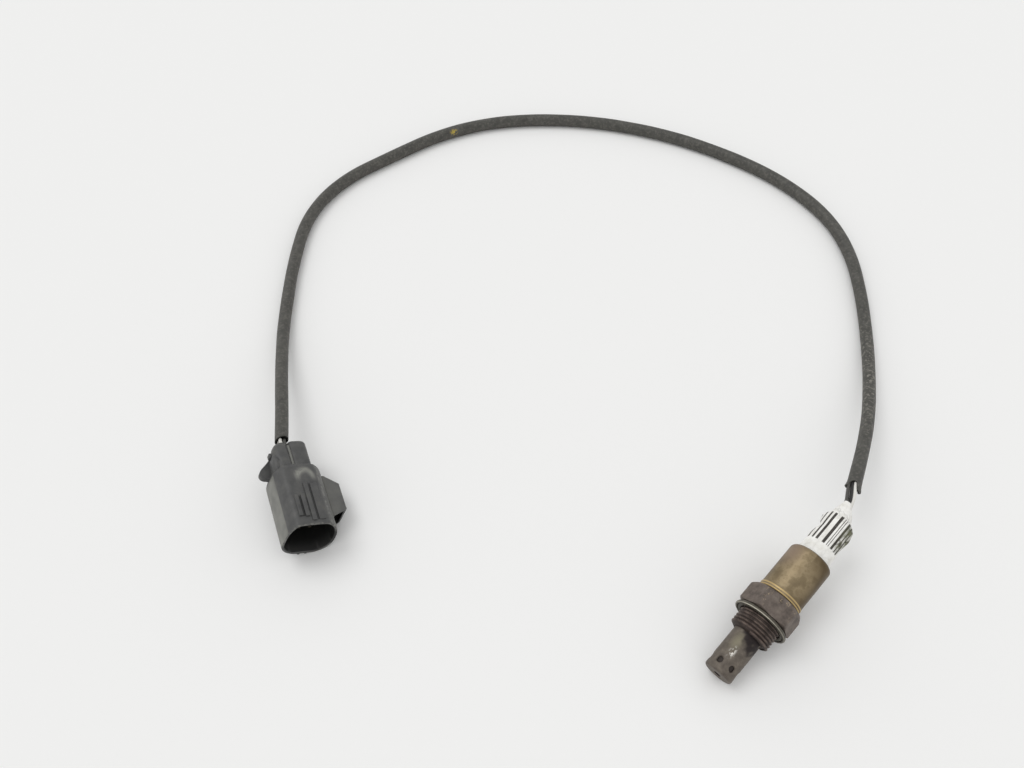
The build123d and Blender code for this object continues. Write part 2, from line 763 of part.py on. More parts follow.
sheath, path, radii = bent_rod(sheath_route, sheath_diameter, sheath_arc_share)
expected = path.length * pi * (sheath_diameter * half) ** 2
print("sheath length", round(path.length, 1), "least radius", round(min(radii), 1))
print("sheath radii", [round(radius, 1) for radius in radii])
print("sheath volume", round(sheath.volume, 1), "section times length", round(expected, 1))
print("nose down", round(nose_down_angle, 2), "floor", round(floor_z, 3), "plug roll", round(plug_roll, 2))
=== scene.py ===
import math

import bmesh
import bpy
from mathutils import Matrix, Vector, noise


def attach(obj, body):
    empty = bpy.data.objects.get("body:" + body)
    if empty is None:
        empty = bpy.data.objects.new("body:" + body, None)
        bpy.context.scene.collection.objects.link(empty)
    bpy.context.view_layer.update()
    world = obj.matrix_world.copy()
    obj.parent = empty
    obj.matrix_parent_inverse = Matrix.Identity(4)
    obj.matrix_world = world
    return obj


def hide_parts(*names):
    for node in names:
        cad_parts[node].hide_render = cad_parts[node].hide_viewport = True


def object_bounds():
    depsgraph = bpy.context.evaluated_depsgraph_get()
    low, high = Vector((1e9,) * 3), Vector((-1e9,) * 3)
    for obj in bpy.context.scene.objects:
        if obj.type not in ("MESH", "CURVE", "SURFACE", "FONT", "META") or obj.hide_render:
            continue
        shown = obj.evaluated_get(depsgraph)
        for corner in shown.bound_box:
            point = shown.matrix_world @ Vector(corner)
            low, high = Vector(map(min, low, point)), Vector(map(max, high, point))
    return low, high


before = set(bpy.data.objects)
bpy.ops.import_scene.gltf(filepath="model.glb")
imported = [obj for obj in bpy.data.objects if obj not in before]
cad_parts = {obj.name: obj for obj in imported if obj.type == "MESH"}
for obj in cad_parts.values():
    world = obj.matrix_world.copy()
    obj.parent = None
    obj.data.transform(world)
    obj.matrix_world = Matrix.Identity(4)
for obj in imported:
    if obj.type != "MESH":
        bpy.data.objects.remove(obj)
scene = bpy.context.scene
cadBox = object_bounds()
mm = 0.001
floorZ = cadBox[0][2]  # the tip, the gasket's rim and the plug's bracket rest at this height

# how the parts lie: the sensor nose down on its tip, the plug rolled onto its bracket
lie = {
    "noseDown": 12.13,  # degrees
    "plugMiddle": (102.2, -176.2, 0.514),  # mm
    "plugYaw": 66.4,
    "plugRoll": -26.09,
}
sensorTurn = (0, math.radians(lie["noseDown"]), 0)
toMetres = Matrix.Scale(mm, 4)
sensorPlace = Matrix.Rotation(sensorTurn[1], 4, "Y") @ toMetres
plugPlace = (
    Matrix.Translation(Vector(lie["plugMiddle"]) * mm)
    @ Matrix.Rotation(math.radians(lie["plugYaw"]), 4, "Z")
    @ Matrix.Rotation(math.radians(lie["plugRoll"]), 4, "X")
    @ toMetres
)
print("frame loaded, nodes:", len(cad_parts))


# camera, where the photograph was taken from
view = {
    "spot": (170.1, 23.2, 341.9),  # mm
    "aim": (-0.4281, -0.4229, -0.7986),
    "lens": 30.45,  # on a 36 mm wide sensor
}
cameraData = bpy.data.cameras.new("camera")
cameraData.lens = view["lens"]
cameraData.sensor_width = 36
cameraData.clip_start = 10 * mm
camera = bpy.data.objects.new("camera", cameraData)
camera.location = Vector(view["spot"]) * mm
camera.rotation_euler = Vector(view["aim"]).to_track_quat("-Z", "Y").to_euler()
scene.collection.objects.link(camera)
scene.camera = camera
print("camera set")


# shared by all pieces
def addObject(bm, name, material):
    mesh = bpy.data.meshes.new(name)
    bm.to_mesh(mesh)
    bm.free()
    mesh.materials.append(material)
    piece = bpy.data.objects.new(name, mesh)
    scene.collection.objects.link(piece)
    return piece


def finishPiece(bm, name, place, finish, replaced, slotName, sharpAngle=35, **painters):
    bmesh.ops.transform(bm, matrix=place, verts=bm.verts)
    piece = addObject(bm, name, finishes[finish])
    piece.data.shade_smooth()
    piece.data.set_sharp_from_angle(angle=math.radians(sharpAngle))
    # numbers that its material reads by name, worked out for each point from where it was before
    back = place.inverted()
    for title, valueAt in painters.items():
        layer = piece.data.attributes.new(title, "FLOAT", "POINT")
        for number, vert in enumerate(piece.data.vertices):
            layer.data[number].value = valueAt(back @ vert.co)
    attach(piece, "root")
    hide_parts(*replaced)
    return piece


def loft(bm, loops, capStart=True, capEnd=True):
    # closed loops of points joined into one skin, each extruded from the one before
    ring = [bm.verts.new(point) for point in loops[0]]
    edges = [bm.edges.new((ring[number - 1], vert)) for number, vert in enumerate(ring)]
    firstEdges = edges
    for loop in loops[1:]:
        grown = bmesh.ops.extrude_edge_only(bm, edges=edges)["geom"]
        fresh = {item for item in grown if isinstance(item, bmesh.types.BMVert)}
        edges = [item for item in grown if isinstance(item, bmesh.types.BMEdge)]
        ring = [
            next(edge.other_vert(vert) for edge in vert.link_edges if edge.other_vert(vert) in fresh)
            for vert in ring
        ]
        for vert, point in zip(ring, loop):
            vert.co = point
    if capStart:
        bmesh.ops.edgeloop_fill(bm, edges=firstEdges)
    if capEnd:
        bmesh.ops.edgeloop_fill(bm, edges=edges)
    bmesh.ops.recalc_face_normals(bm, faces=bm.faces)
    return bm


def roundSkin(bm, stations, radiusAt, segments, capStart=True, capEnd=True, clock=0):
    # rings along X; angle 0 is up and grows towards +Y
    loops = []
    for number, x in enumerate(stations):
        loop = []
        for step in range(segments):
            angle = math.tau * step / segments - math.pi + clock
            radius = radiusAt(number, x, angle)
            loop.append((x, radius * math.sin(angle), radius * math.cos(angle)))
        loops.append(loop)
    return loft(bm, loops, capStart, capEnd)


def smoothLoop(points, cuts):
    # closed curve through given points
    loop = []
    count = len(points)
    for number in range(count):
        before, here, after, beyond = [Vector(points[(number + step) % count]) for step in (-1, 0, 1, 2)]
        for cut in range(cuts):
            t = cut / cuts
            bend = (before * 2 - here * 5 + after * 4 - beyond) * t * t
            bend += (here * 3 - before - after * 3 + beyond) * t**3
            loop.append((here * 2 + (after - before) * t + bend) / 2)
    return loop


def aroundAxis(point):
    return math.degrees(math.atan2(point.y, point.z))  # 0 is up, 90 towards +Y


def fromAxis(point):
    return math.hypot(point.y, point.z)


def bump01(value, middle, reach):
    # 1 in the middle, falling smoothly to 0 at the reach
    away = min(abs(value - middle) / reach, 1)
    return 0.5 + 0.5 * math.cos(math.pi * away)


def turned(outline, closed=False):
    # outline points (place along X, radius) spun about the X axis
    bm = bmesh.new()
    verts = [bm.verts.new((x, 0, radius)) for x, radius in outline]
    edges = [bm.edges.new(pair) for pair in zip(verts, verts[1:])]
    if closed:
        edges.append(bm.edges.new((verts[-1], verts[0])))
    bmesh.ops.spin(
        bm, geom=verts + edges, cent=(0, 0, 0), axis=(1, 0, 0), angle=math.tau, steps=96, use_merge=True
    )
    bmesh.ops.remove_doubles(bm, verts=bm.verts, dist=0.0001)
    bmesh.ops.recalc_face_normals(bm, faces=bm.faces)
    return bm


def between(value, pairs):
    # straight-line reading of a short list of (place, value) pairs
    for (x0, y0), (x1, y1) in zip(pairs, pairs[1:]):
        if value <= x1:
            share = max(0, (value - x0) / (x1 - x0))
            return y0 + (y1 - y0) * share
    return pairs[-1][1]


def spread(start, end, count):
    return [start + (end - start) * number / (count - 1) for number in range(count)]


def hexColour(text):
    # sRGB hex to linear
    parts = [int(text[number : number + 2], 16) / 255 for number in (1, 3, 5)]
    return (*[part / 12.92 if part <= 0.04045 else ((part + 0.055) / 1.055) ** 2.4 for part in parts], 1)


def addNode(tree, kind, inputs=None, stops=None, **settings):
    node = tree.nodes.new("ShaderNode" + kind)
    for name, value in settings.items():
        setattr(node, name, value)
    for key, value in (inputs or {}).items():
        if isinstance(value, bpy.types.NodeSocket):
            tree.links.new(value, node.inputs[key])
        else:
            node.inputs[key].default_value = value
    if stops:
        elements = node.color_ramp.elements
        for number, (place, colour) in enumerate(stops):
            element = elements[number] if number < len(elements) else elements.new(place)
            element.position = place
            element.color = hexColour(colour)
    return node


def newMaterial(name, rough=0.5, metal=0.0):
    material = bpy.data.materials.new(name)
    material.use_nodes = True
    tree = material.node_tree
    shader = tree.nodes["Principled BSDF"]
    shader.inputs["Roughness"].default_value = rough
    shader.inputs["Metallic"].default_value = metal
    return material, tree, addNode(tree, "TexCoord").outputs["Object"]


def sizeOf(width):
    return 1 / (width * mm)  # noise scale whose features are about this many mm wide


def cloudOf(tree, place, width, stops, detail=5.0, rough=0.6):
    noiseInputs = {"Vector": place, "Scale": sizeOf(width), "Detail": detail, "Roughness": rough}
    cloud = addNode(tree, "TexNoise", noiseInputs).outputs["Fac"]
    return addNode(tree, "ValToRGB", {"Fac": cloud}, stops=stops).outputs["Color"]


def layered(tree, place, tone, layers):
    # colours laid over the tone: share (a painted value's name or a socket), colour and, where it is
    # broken into flecks, their width in mm and the two noise levels they fade in between
    for share, over, *flecks in layers:
        if isinstance(share, str):
            share = addNode(tree, "Attribute", attribute_name=share).outputs["Fac"]
        if flecks:
            width, low, high = flecks
            noiseInputs = {"Vector": place, "Scale": sizeOf(width), "Detail": 3.0}
            cloud = addNode(tree, "TexNoise", noiseInputs).outputs["Fac"]
            broken = addNode(tree, "MapRange", {"Value": cloud, "From Min": low, "From Max": high}).outputs[0]
            share = addNode(tree, "Math", {0: share, 1: broken}, operation="MULTIPLY").outputs[0]
        if isinstance(over, str):
            over = hexColour(over)
        tone = addNode(tree, "Mix", {0: share, 6: tone, 7: over}, data_type="RGBA").outputs[2]
    return tone


def evenTone(tree, place, colour, width, detail, shade):
    # one colour that clouds over a little darker
    cloud = addNode(tree, "TexNoise", {"Vector": place, "Scale": sizeOf(width), "Detail": detail}).outputs["Fac"]
    dark = tuple(channel * shade for channel in hexColour(colour)[:3]) + (1,)
    return layered(tree, place, dark, [(cloud, colour)])


def coated(material, place, tone, layers=(), width=0, strength=0, depth=0):
    # gives the material its layered colour, and a fine surface grain as bump; width and depth in mm
    tree = material.node_tree
    shader = tree.nodes["Principled BSDF"]
    tree.links.new(layered(tree, place, tone, layers), shader.inputs["Base Color"])
    if strength:
        grain = addNode(tree, "TexNoise", {"Vector": place, "Scale": sizeOf(width), "Detail": 3.0}).outputs["Fac"]
        bump = addNode(tree, "Bump", {"Height": grain, "Strength": strength, "Distance": depth * mm})
        tree.links.new(bump.outputs[0], shader.inputs["Normal"])
    return material


# materials
def blackenedSteel():
    # turned steel browned by exhaust heat: a dull scale, darker in the thread, rubbed bright at corners
    material, tree, place = newMaterial("heatBrownedSteel", rough=0.62, metal=0.35)
    tone = cloudOf(tree, place, 3, [(0.3, "#4f4741"), (0.5, "#675d56"), (0.72, "#7a7067")])
    dark = cloudOf(tree, place, 1.6, [(0.35, "#2a221e"), (0.6, "#3d322d"), (0.8, "#52443d")])
    layers = [("thread", dark), ("corner", "#cbb48c", 0.7, 0.58, 0.68), ("crest", "#75665d", 3, 0.3, 0.7)]
    return coated(material, place, tone, layers, 0.5, 0.35, 0.12)


def foldedSteel():
    # sheet steel folded into a ring, dull olive from oil and heat, with a painted highlight along its front rim
    material, tree, place = newMaterial("foldedSheetSteel", rough=0.48, metal=0.6)
    tone = cloudOf(tree, place, 2, [(0.3, "#423e37"), (0.6, "#5c574d"), (0.8, "#756f61")])
    return coated(material, place, tone, [("rim", "#cdc8b8")], 0.6, 0.2, 0.06)


def sootedSteel():
    # drawn stainless tube fogged by exhaust: grey-brown, an olive heat band, soot with painted shade, and a few
    # bright scuffs
    material, tree, place = newMaterial("sootedStainless", rough=0.6, metal=0.45)
    tone = cloudOf(tree, place, 2.6, [(0.3, "#574f48"), (0.55, "#696158"), (0.75, "#7b7267")])
    smear = cloudOf(tree, place, 1.8, [(0.35, "#1a1413"), (0.65, "#2c2323")])
    layers = [("olive", "#85806a"), ("soot", smear), ("scuff", "#f1eee6", 1.1, 0.5, 0.58)]
    return coated(material, place, tone, layers, 0.45, 0.3, 0.08)


def plainSteel(name, colour, rough, metal=0.9):
    # small stamped parts, dull
    material, tree, place = newMaterial(name, rough, metal)
    return coated(material, place, evenTone(tree, place, colour, 2, 3, 0.7))


def tintedSteel():
    # deep-drawn stainless cover tinted straw by heat, darkened brown by painted shade away from a painted
    # highlight, lightened pink by painted light at the rear, with drawing lines around it
    material, tree, place = newMaterial("heatTintedStainless", rough=0.46, metal=0.7)
    stops = [(0.3, "#756650"), (0.44, "#85765b"), (0.54, "#9a8a6d"), (0.64, "#8c7c60"), (0.78, "#7f7056")]
    tone = cloudOf(tree, place, 6, stops, 7)
    layers = [("browned", "#55462f"), ("pinked", "#958272"), ("bead", "#cdb27c"), ("rim", "#2c2620")]
    local = addNode(tree, "Mapping", {"Vector": place, "Rotation": sensorTurn}, vector_type="TEXTURE").outputs[0]
    around = addNode(tree, "Mapping", {"Vector": local, "Scale": (1, 0.04, 0.04)}).outputs[0]
    return coated(material, around, layered(tree, place, tone, layers), (), 0.5, 0.12, 0.05)


def wrapPaper():
    # coated paper wrap: white, dark printed bars along the body, creased with painted shade in the creases,
    # oil-stained on one side
    material, tree, place = newMaterial("coatedPaper", rough=0.62)
    paper = cloudOf(tree, place, 3, [(0.3, "#dedcd5"), (0.6, "#f0efeb")])
    ink = cloudOf(tree, place, 1.2, [(0.3, "#1e1b18"), (0.7, "#47423b")])
    turn, printed = [
        addNode(tree, "Attribute", attribute_name=name).outputs["Fac"] for name in ("turn", "printed")
    ]
    across = addNode(tree, "MapRange", {"Value": turn, "From Min": -90, "From Max": 90.0}).outputs[0]
    stops = [(0, "#000000")]
    for middle, width in label["bars"]:
        stops += [((middle - width / 2 + 90) / 180, "#ffffff"), ((middle + width / 2 + 90) / 180, "#000000")]
    bars = addNode(tree, "ValToRGB", {"Fac": across}, stops=stops)
    bars.color_ramp.interpolation = "CONSTANT"
    inked = addNode(tree, "Math", {0: bars.outputs["Color"], 1: printed}, operation="MULTIPLY").outputs[0]
    layers = [(inked, ink), ("stain", "#5f6046", 3, 0.3, 0.6), ("crease", "#403d35")]
    return coated(material, place, paper, layers, 1.5, 0.3, 0.25)


def sleeveRubber():
    # extruded sleeve over the wires, matt and dusty, rubbed pale along its top, with dabs of paint and painted
    # shade inside its hollow ends
    material, tree, place = newMaterial("extrudedSleeve", rough=0.55)
    tone = cloudOf(tree, place, 4, [(0.3, "#363531"), (0.55, "#44433e"), (0.8, "#56544f")])
    layers = [("rubbed", "#79766e", 1.4, 0.5, 0.66)]
    for spot, reach, colour in sleeve["paint"]:
        away = addNode(tree, "VectorMath", {0: place, 1: Vector(spot) * mm}, operation="DISTANCE").outputs["Value"]
        fade = {"Value": away, "From Min": reach * mm, "From Max": reach * 0.55 * mm}
        layers.append((addNode(tree, "MapRange", fade).outputs[0], colour, 1.3, 0.44, 0.5))
    layers.append(("inside", "#161614"))
    return coated(material, place, tone, layers, 0.8, 0.25, 0.12)


def mouldedPlastic(name, colour, rough=0.5):
    # moulded nylon, finely grained; also drawn insulation, rubber and ceramic, which look as even
    material, tree, place = newMaterial(name, rough)
    return coated(material, place, evenTone(tree, place, colour, 4, 4, 0.75), (), 0.4, 0.2, 0.06)


def dustyPlastic(name):
    # glass-filled nylon, injection moulded: charcoal, dulled by dust, painted light on its left face and painted
    # highlights on the ramp's arch, the cap's seam and its top right edge, its front rim rubbed paler, and painted
    # shade in the mouth, grooves and recesses
    material, tree, place = newMaterial(name)
    tone = cloudOf(tree, place, 4.5, [(0.3, "#3c3c3c"), (0.55, "#494948"), (0.78, "#565551")])
    layers = [("dust", "#85857e"), ("rubbed", "#a3a198", 1.6, 0.4, 0.6), ("inside", "#1b1b1a")]
    return coated(material, place, tone, layers, 0.5, 0.3, 0.08)


# the paper wrap, whose bars its material reads
label = {
    "start": -33,
    "end": -63.4,
    # its outline in mm: place along the axis, and how far it reaches to the left, to the right and up
    "left": [(-63.4, -4.3), (-55.4, -6), (-53.6, -7.2), (-52, -7.7), (-50, -7.2), (-47.5, -5.9), (-45, -6.6),
             (-42, -7.1), (-38, -7.25), (-33, -7.25)],
    "right": [(-63.4, -1), (-58.7, 2.4), (-56, 3.8), (-54.6, 4.5), (-54.1, 5.4), (-52.9, 6.7), (-48.9, 7.3),
              (-46, 6.9), (-42.8, 6.6), (-37.6, 7.2), (-33, 7.25)],
    "rise": [(-63.4, 1.7), (-59, 3.2), (-56.5, 4.6), (-54.5, 6.2), (-52.5, 6.9), (-50, 7.1), (-33, 7.25)],
    "bulge": [(-60, 0.1), (-52, 0.25), (-38, 0.14), (-33.6, 0)],  # how far the paper bulges in or out
    "pressed": 0.6,  # depth of a crease in mm
    "smoothTo": -34,  # no creases between its start and here
    # how close its folds lie along and around and how wide they are, and where they are pressed deepest
    "fold": {
        "along": 0.3, "around": 2.4, "width": 0.09, "leftTurn": (-75, 34), "leftPlace": (-43, 6), "neck": (-55, 7),
        "wornAround": [(22, 0), (45, 1)], "wornAlong": [(-54, 0.2), (-50, 1), (-43, 1), (-38.5, 0)],
    },
    "half": 7.75,  # half its width, for the bars
    "rings": 78,
    "segments": 144,
    "printFrom": -39.4,
    "printTo": -54.5,
    "printTurn": 95,  # degrees to either side of the top
    # middle and width of each printed bar in degrees around the wrap
    "bars": [(-76, 6), (-58, 5), (-40, 6), (-25, 8), (-2, 9), (10, 2.5), (16, 2), (28, 8), (42, 4), (53, 5),
             (68, 8)],
    # oil stain: sideways and along, with its strength
    "stainAcross": [(2.8, 0), (4.4, 0.7), (5.4, 1)],
    "stainAlong": [(-54.5, 0), (-52, 1), (-43, 1), (-40, 0)],
}
finishes = {
    "shell": blackenedSteel(),
    "gasket": foldedSteel(),
    "tip": sootedSteel(),
    "cover": tintedSteel(),
    "label": wrapPaper(),
    "plug": dustyPlastic("dustyNylon"),
    "cap": dustyPlastic("dustyNylonCap"),
    "crimped": plainSteel("pressedSteel", "#6a625c", 0.5),
    "innerTip": plainSteel("sootedTube", "#3d3632", 0.6, 0.5),
    "lock": mouldedPlastic("mouldedNylonLock", "#3a3a38"),
    "whiteWire": mouldedPlastic("whiteInsulation", "#e9e7e1"),
    "darkWire": mouldedPlastic("darkInsulation", "#4a4945"),
    "blackWire": mouldedPlastic("blackInsulation", "#1c1b1a"),
    "ceramic": mouldedPlastic("firedAlumina", "#e0ddd5", 0.7),
    "rubber": mouldedPlastic("siliconeRubber", "#2a2927", 0.7),
    "tinned": plainSteel("tinnedBrass", "#b8b3a4", 0.35),
    # the terminal blades sit deep in the mouth and are darkened there as painted shade
    "blade": plainSteel("tarnishedBrass", "#3f392f", 0.6, 0.6),
}
print("materials made:", len(finishes))


# lead: the sleeve's route from its mouth behind the sensor to its end behind the plug, in mm
sleeve = {
    "diameter": 7,
    "length": 754,
    "route": [
        (-70.6, -4.8, 9.9), (-91, -11.3, 6.2), (-117, -21, 1), (-142, -33, -5), (-169, -49, -8.7),
        (-197, -69.5, -8.7), (-222, -92, -8.7), (-239, -119, -8.7), (-246, -156, -8.7),
        (-242, -196, -8.7), (-230, -238, -8.7), (-206, -281, -8.7), (-170, -318, -8.7),
        (-132, -337, -8.7), (-92, -343, -8.7), (-56, -347, -8.7), (-22, -337, -8.7),
        (8, -311, -8.7), (33.1, -284.3, -8.7), (45.2, -269.8, -7.2), (57, -253.3, -3.2), (68.1, -236.7, 1.5),
        (78.6, -220.8, 5), (88.7, -206.5, 7.3),
    ],
    # radius in mm at shares of the length: the sleeve is worn thin and thick in turns
    "radii": [(0, 3.1), (0.08, 3.1), (0.2, 3.25), (0.3, 3.6), (0.5, 3.7), (0.65, 3.65), (0.85, 3.3), (1, 3.1)],
    "uneven": 0.025,
    "wall": 0.7,
    "hollowDepth": 8,
    # how far each side of the torn mouth is cut back, in mm, from its turn in degrees; 0 is up
    "lip": [(-180, 3.5), (-125, 3.3), (-104, 1.5), (-75, 1), (-57, 1.4), (-48, 3), (-36, 4), (-9, 4.3), (10, 3.9),
            (16, 2.4), (22, 0.3), (45, -0.5), (80, -0.3), (104, 0.7), (118, 2.8), (138, 3.4), (180, 3.5)],
    "curls": [(-72, 34, 1), (62, 40, 0.7)],  # turn, reach and height of the lip's curled ends
    "innerRings": (0.95, 0.6, 0.3, 0.1, 0.02),  # shares of the hollow, from its foot to the lip
    "outerRings": (0.03, 0.15, 0.35, 0.6, 0.85),
    "endSlant": 0.9,
    "endHollow": 1.5,
    "wart": {"top": (-230.1, -114.4, -8), "foot": (-233.5, -113.5, -8.7), "reach": 2.4, "rise": 0.9},
    "bore": 2.75,  # radius within which its hollow ends are painted dark as shade
    "rubbed": ((-141.5, -36.9), 60),  # middle and reach of the palest stretch
    # dabs of paint: place, reach and colour
    "paint": [((-134.5, -329, -5.2), 4, "#b9a23a"), ((-128.8, -330.6, -5.2), 1.6, "#cfcdc4"),
              ((-236.8, -163.5, -5.2), 3.6, "#b9a23a")],
}
finishes["sleeve"] = sleeveRubber()


def smoothRoute(points, resolution):
    # points along the route's own NURBS spline
    curve = bpy.data.curves.new("route", "CURVE")
    curve.dimensions = "3D"
    curve.resolution_u = resolution
    spline = curve.splines.new("NURBS")
    spline.points.add(len(points) - 1)
    for knot, point in zip(spline.points, points):
        knot.co = (*(Vector(point) * mm), 1)
    spline.order_u = 3
    spline.use_endpoint_u = True
    holder = bpy.data.objects.new("route", curve)
    mesh = bpy.data.meshes.new_from_object(holder)
    path = [vert.co.copy() for vert in mesh.vertices]
    bpy.data.meshes.remove(mesh)
    bpy.data.objects.remove(holder)
    bpy.data.curves.remove(curve)
    return path


def pathFrames(path):
    # direction, side and up at each point, carried along without twist
    frames = []
    side = None
    for number, point in enumerate(path):
        ahead = path[min(number + 1, len(path) - 1)] - path[max(number - 1, 0)]
        ahead.normalize()
        if side is None:
            side = ahead.cross(Vector((0, 0, 1))).normalized()
        side = (side - ahead * side.dot(ahead)).normalized()
        up = side.cross(ahead).normalized()
        frames.append((point, ahead, side, up))
    return frames


def tubeLoop(step, reachAt, shiftAt=None, segments=60):
    # ring around a path; turn 0 is up and grows towards the path's own side
    point, ahead, side, up = step
    loop = []
    for number in range(segments):
        turn = math.tau * number / segments - math.pi
        reach = reachAt(turn) if callable(reachAt) else reachAt
        shift = shiftAt(turn) if shiftAt else 0
        loop.append(point + (side * math.sin(turn) + up * math.cos(turn)) * reach + ahead * shift)
    return loop


def makeSleeve():
    path = smoothRoute(sleeve["route"], 24)
    steps = pathFrames(path)
    lengths = [0.0]
    for before, here in zip(path, path[1:]):
        lengths.append(lengths[-1] + (here - before).length)
    whole = lengths[-1]
    wall = sleeve["wall"] * mm
    depth = sleeve["hollowDepth"] * mm

    def radiusAt(length):
        share = length / whole
        uneven = 1 + sleeve["uneven"] * noise.noise(Vector((share * 40, 0, 0)))
        return between(share, sleeve["radii"]) * mm * uneven

    def mouthLoop(share, inset):
        # share 0 is the ragged lip, 1 is the foot of the mouth
        def reachAt(turn):
            curl = sum(rise * bump01(math.degrees(turn), middle, reach) for middle, reach, rise in sleeve["curls"])
            return radiusAt(depth * share) - inset + curl * mm * (1 - share) ** 2

        def shiftAt(turn):
            return between(math.degrees(turn), sleeve["lip"]) * mm * (1 - share) + depth * share

        return tubeLoop(steps[0], reachAt, shiftAt)

    def slant(turn):
        return sleeve["endSlant"] * mm * math.sin(turn)

    loops = [mouthLoop(share, wall) for share in sleeve["innerRings"]]
    loops.append(mouthLoop(0, wall * 0.5))
    loops += [mouthLoop(share, 0) for share in sleeve["outerRings"]]
    for length, step in zip(lengths[:-1], steps[:-1]):
        if length > depth:
            loops.append(tubeLoop(step, radiusAt(length)))
    end = radiusAt(whole)
    loops.append(tubeLoop(steps[-1], end, slant))
    loops.append(tubeLoop(steps[-1], end - wall, slant))
    loops.append(tubeLoop(steps[-1], end - wall, lambda turn: -sleeve["endHollow"] * mm))
    bm = loft(bmesh.new(), loops)
    wart = sleeve["wart"]
    top, foot = Vector(wart["top"]) * mm, Vector(wart["foot"]) * mm
    push = (top - foot).normalized() * wart["rise"] * mm
    for vert in bm.verts:
        vert.co += push * bump01((vert.co - top).length, 0, wart["reach"] * mm)
        vert.co.z = max(vert.co.z, floorZ)
    # its two hollow ends: where, which way in and how deep
    ends = [(steps[0][0] / mm, steps[0][1], sleeve["hollowDepth"]), (steps[-1][0] / mm, -steps[-1][1], 2)]

    # painted shade inside both hollow ends
    def insideAt(point):
        for origin, axis, reach in ends:
            away = point / mm - origin
            along = away.dot(axis)
            if -2 < along < reach and (away - axis * along).length < sleeve["bore"]:
                return 1
        return 0

    def rubbedAt(point):
        middle, reach = sleeve["rubbed"]
        return 0.25 + 0.75 * bump01((point.xy / mm - Vector(middle)).length, 0, reach)

    print("sleeve length in mm:", round(whole / mm, 1))
    return finishPiece(
        bm, "cableSleeve", Matrix(), "sleeve", ["cable_sheath"], "sheath_rubber", 60,
        inside=insideAt, rubbed=rubbedAt,
    ), path


cableSleeve, sleevePath = makeSleeve()


# shell: hexagon, thread and nose
shell = {
    "acrossFlats": 22,
    "height": 9.5,
    "clock": 14.7,  # degrees from up to the nearest corner, towards -Y
    "cornerWear": 0.35,
    "frontRun": 0.85,
    "rearRun": 1.7,
    "edgeRise": 1.7,
    "threadRadius": 9,
    "rootRadius": 8.1,
    "pitch": 1.5,
    "threadEnd": 8.2,
    # one thread across its pitch: share along and share of its depth
    "threadForm": [(0, 0), (0.1, 0), (0.42, 0.92), (0.5, 1), (0.58, 1), (0.66, 0.92), (0.98, 0), (1, 0)],
    # the turned body within: place along the axis and radius, which just covers the thread's roots
    "body": [(-14, 0), (-14, 8.9), (-9.5, 8.9), (0, 8.15), (8.2, 8.15), (8.3, 8.1), (9.4, 8.1), (10.2, 6.9),
             (10.2, 6.3), (8.2, 6.3), (8.2, 0)],
    "cornerFrom": 12.25,  # radius past which the hexagon is rubbed
    "crestFrom": 8.85,
    # place, turn and reach of rubbed spots
    "scuffs": [(-5.8, -18, 1.6), (-7.6, 9, 1.8), (-8.4, -27, 1.6), (-8.6, 24, 1.6), (-8.7, 40, 1.5)],
}


def hexagonSkin(bm):
    cornerRadius = shell["acrossFlats"] / 2 / math.cos(math.radians(30))
    lowRadius = cornerRadius - shell["edgeRise"]
    rear, bend, front = -shell["height"], -shell["height"] + shell["rearRun"], -shell["frontRun"]
    limits = [(rear, lowRadius), (bend, cornerRadius), (front, cornerRadius), (0, lowRadius)]
    stations = spread(rear, bend, 9)[:-1] + spread(bend, front, 12) + spread(front, 0, 9)[1:]

    def radiusAt(number, x, angle):
        turn = (angle + math.radians(shell["clock"]) + math.tau) % math.radians(60)
        flat = shell["acrossFlats"] / 2 / math.cos(turn - math.radians(30))
        return min(flat, cornerRadius - shell["cornerWear"], between(x, limits))

    roundSkin(bm, stations, radiusAt, 144)


def threadSkin(bm):
    # one pitch of the thread's outline, spun along the axis
    pitch, root = shell["pitch"], shell["rootRadius"]
    turns = math.ceil(shell["threadEnd"] / pitch)
    perTurn = 72
    depth = shell["threadRadius"] - root
    verts = [bm.verts.new((share * pitch, 0, root + depth * rise)) for share, rise in shell["threadForm"]]
    edges = [bm.edges.new(pair) for pair in zip(verts, verts[1:])]
    bmesh.ops.spin(
        bm, geom=verts + edges, cent=(0, 0, 0), axis=(1, 0, 0), dvec=(pitch / perTurn, 0, 0),
        angle=math.tau * turns, steps=perTurn * turns,
    )


def makeShell():
    bm = turned(shell["body"])
    hexagonSkin(bm)
    threadSkin(bm)
    bmesh.ops.remove_doubles(bm, verts=bm.verts, dist=0.0005)
    bmesh.ops.recalc_face_normals(bm, faces=bm.faces)

    def cornerAt(point):
        reach = fromAxis(point)
        worn = 0.25 if reach > shell["cornerFrom"] else 0
        for x, turn, width in shell["scuffs"]:
            away = math.hypot(point.x - x, math.radians(aroundAxis(point) - turn) * reach)
            worn = max(worn, bump01(away, 0, width))
        return worn if point.x < 0 else 0

    finishPiece(
        bm, "shellBody", sensorPlace, "shell", ["shell_housing"], "shell_steel", 40,
        thread=lambda point: 1 if point.x > 0.1 else 0,
        corner=cornerAt,
        crest=lambda point: 1 if point.x > 0 and fromAxis(point) > shell["crestFrom"] else 0,
    )


makeShell()
print("shell made")


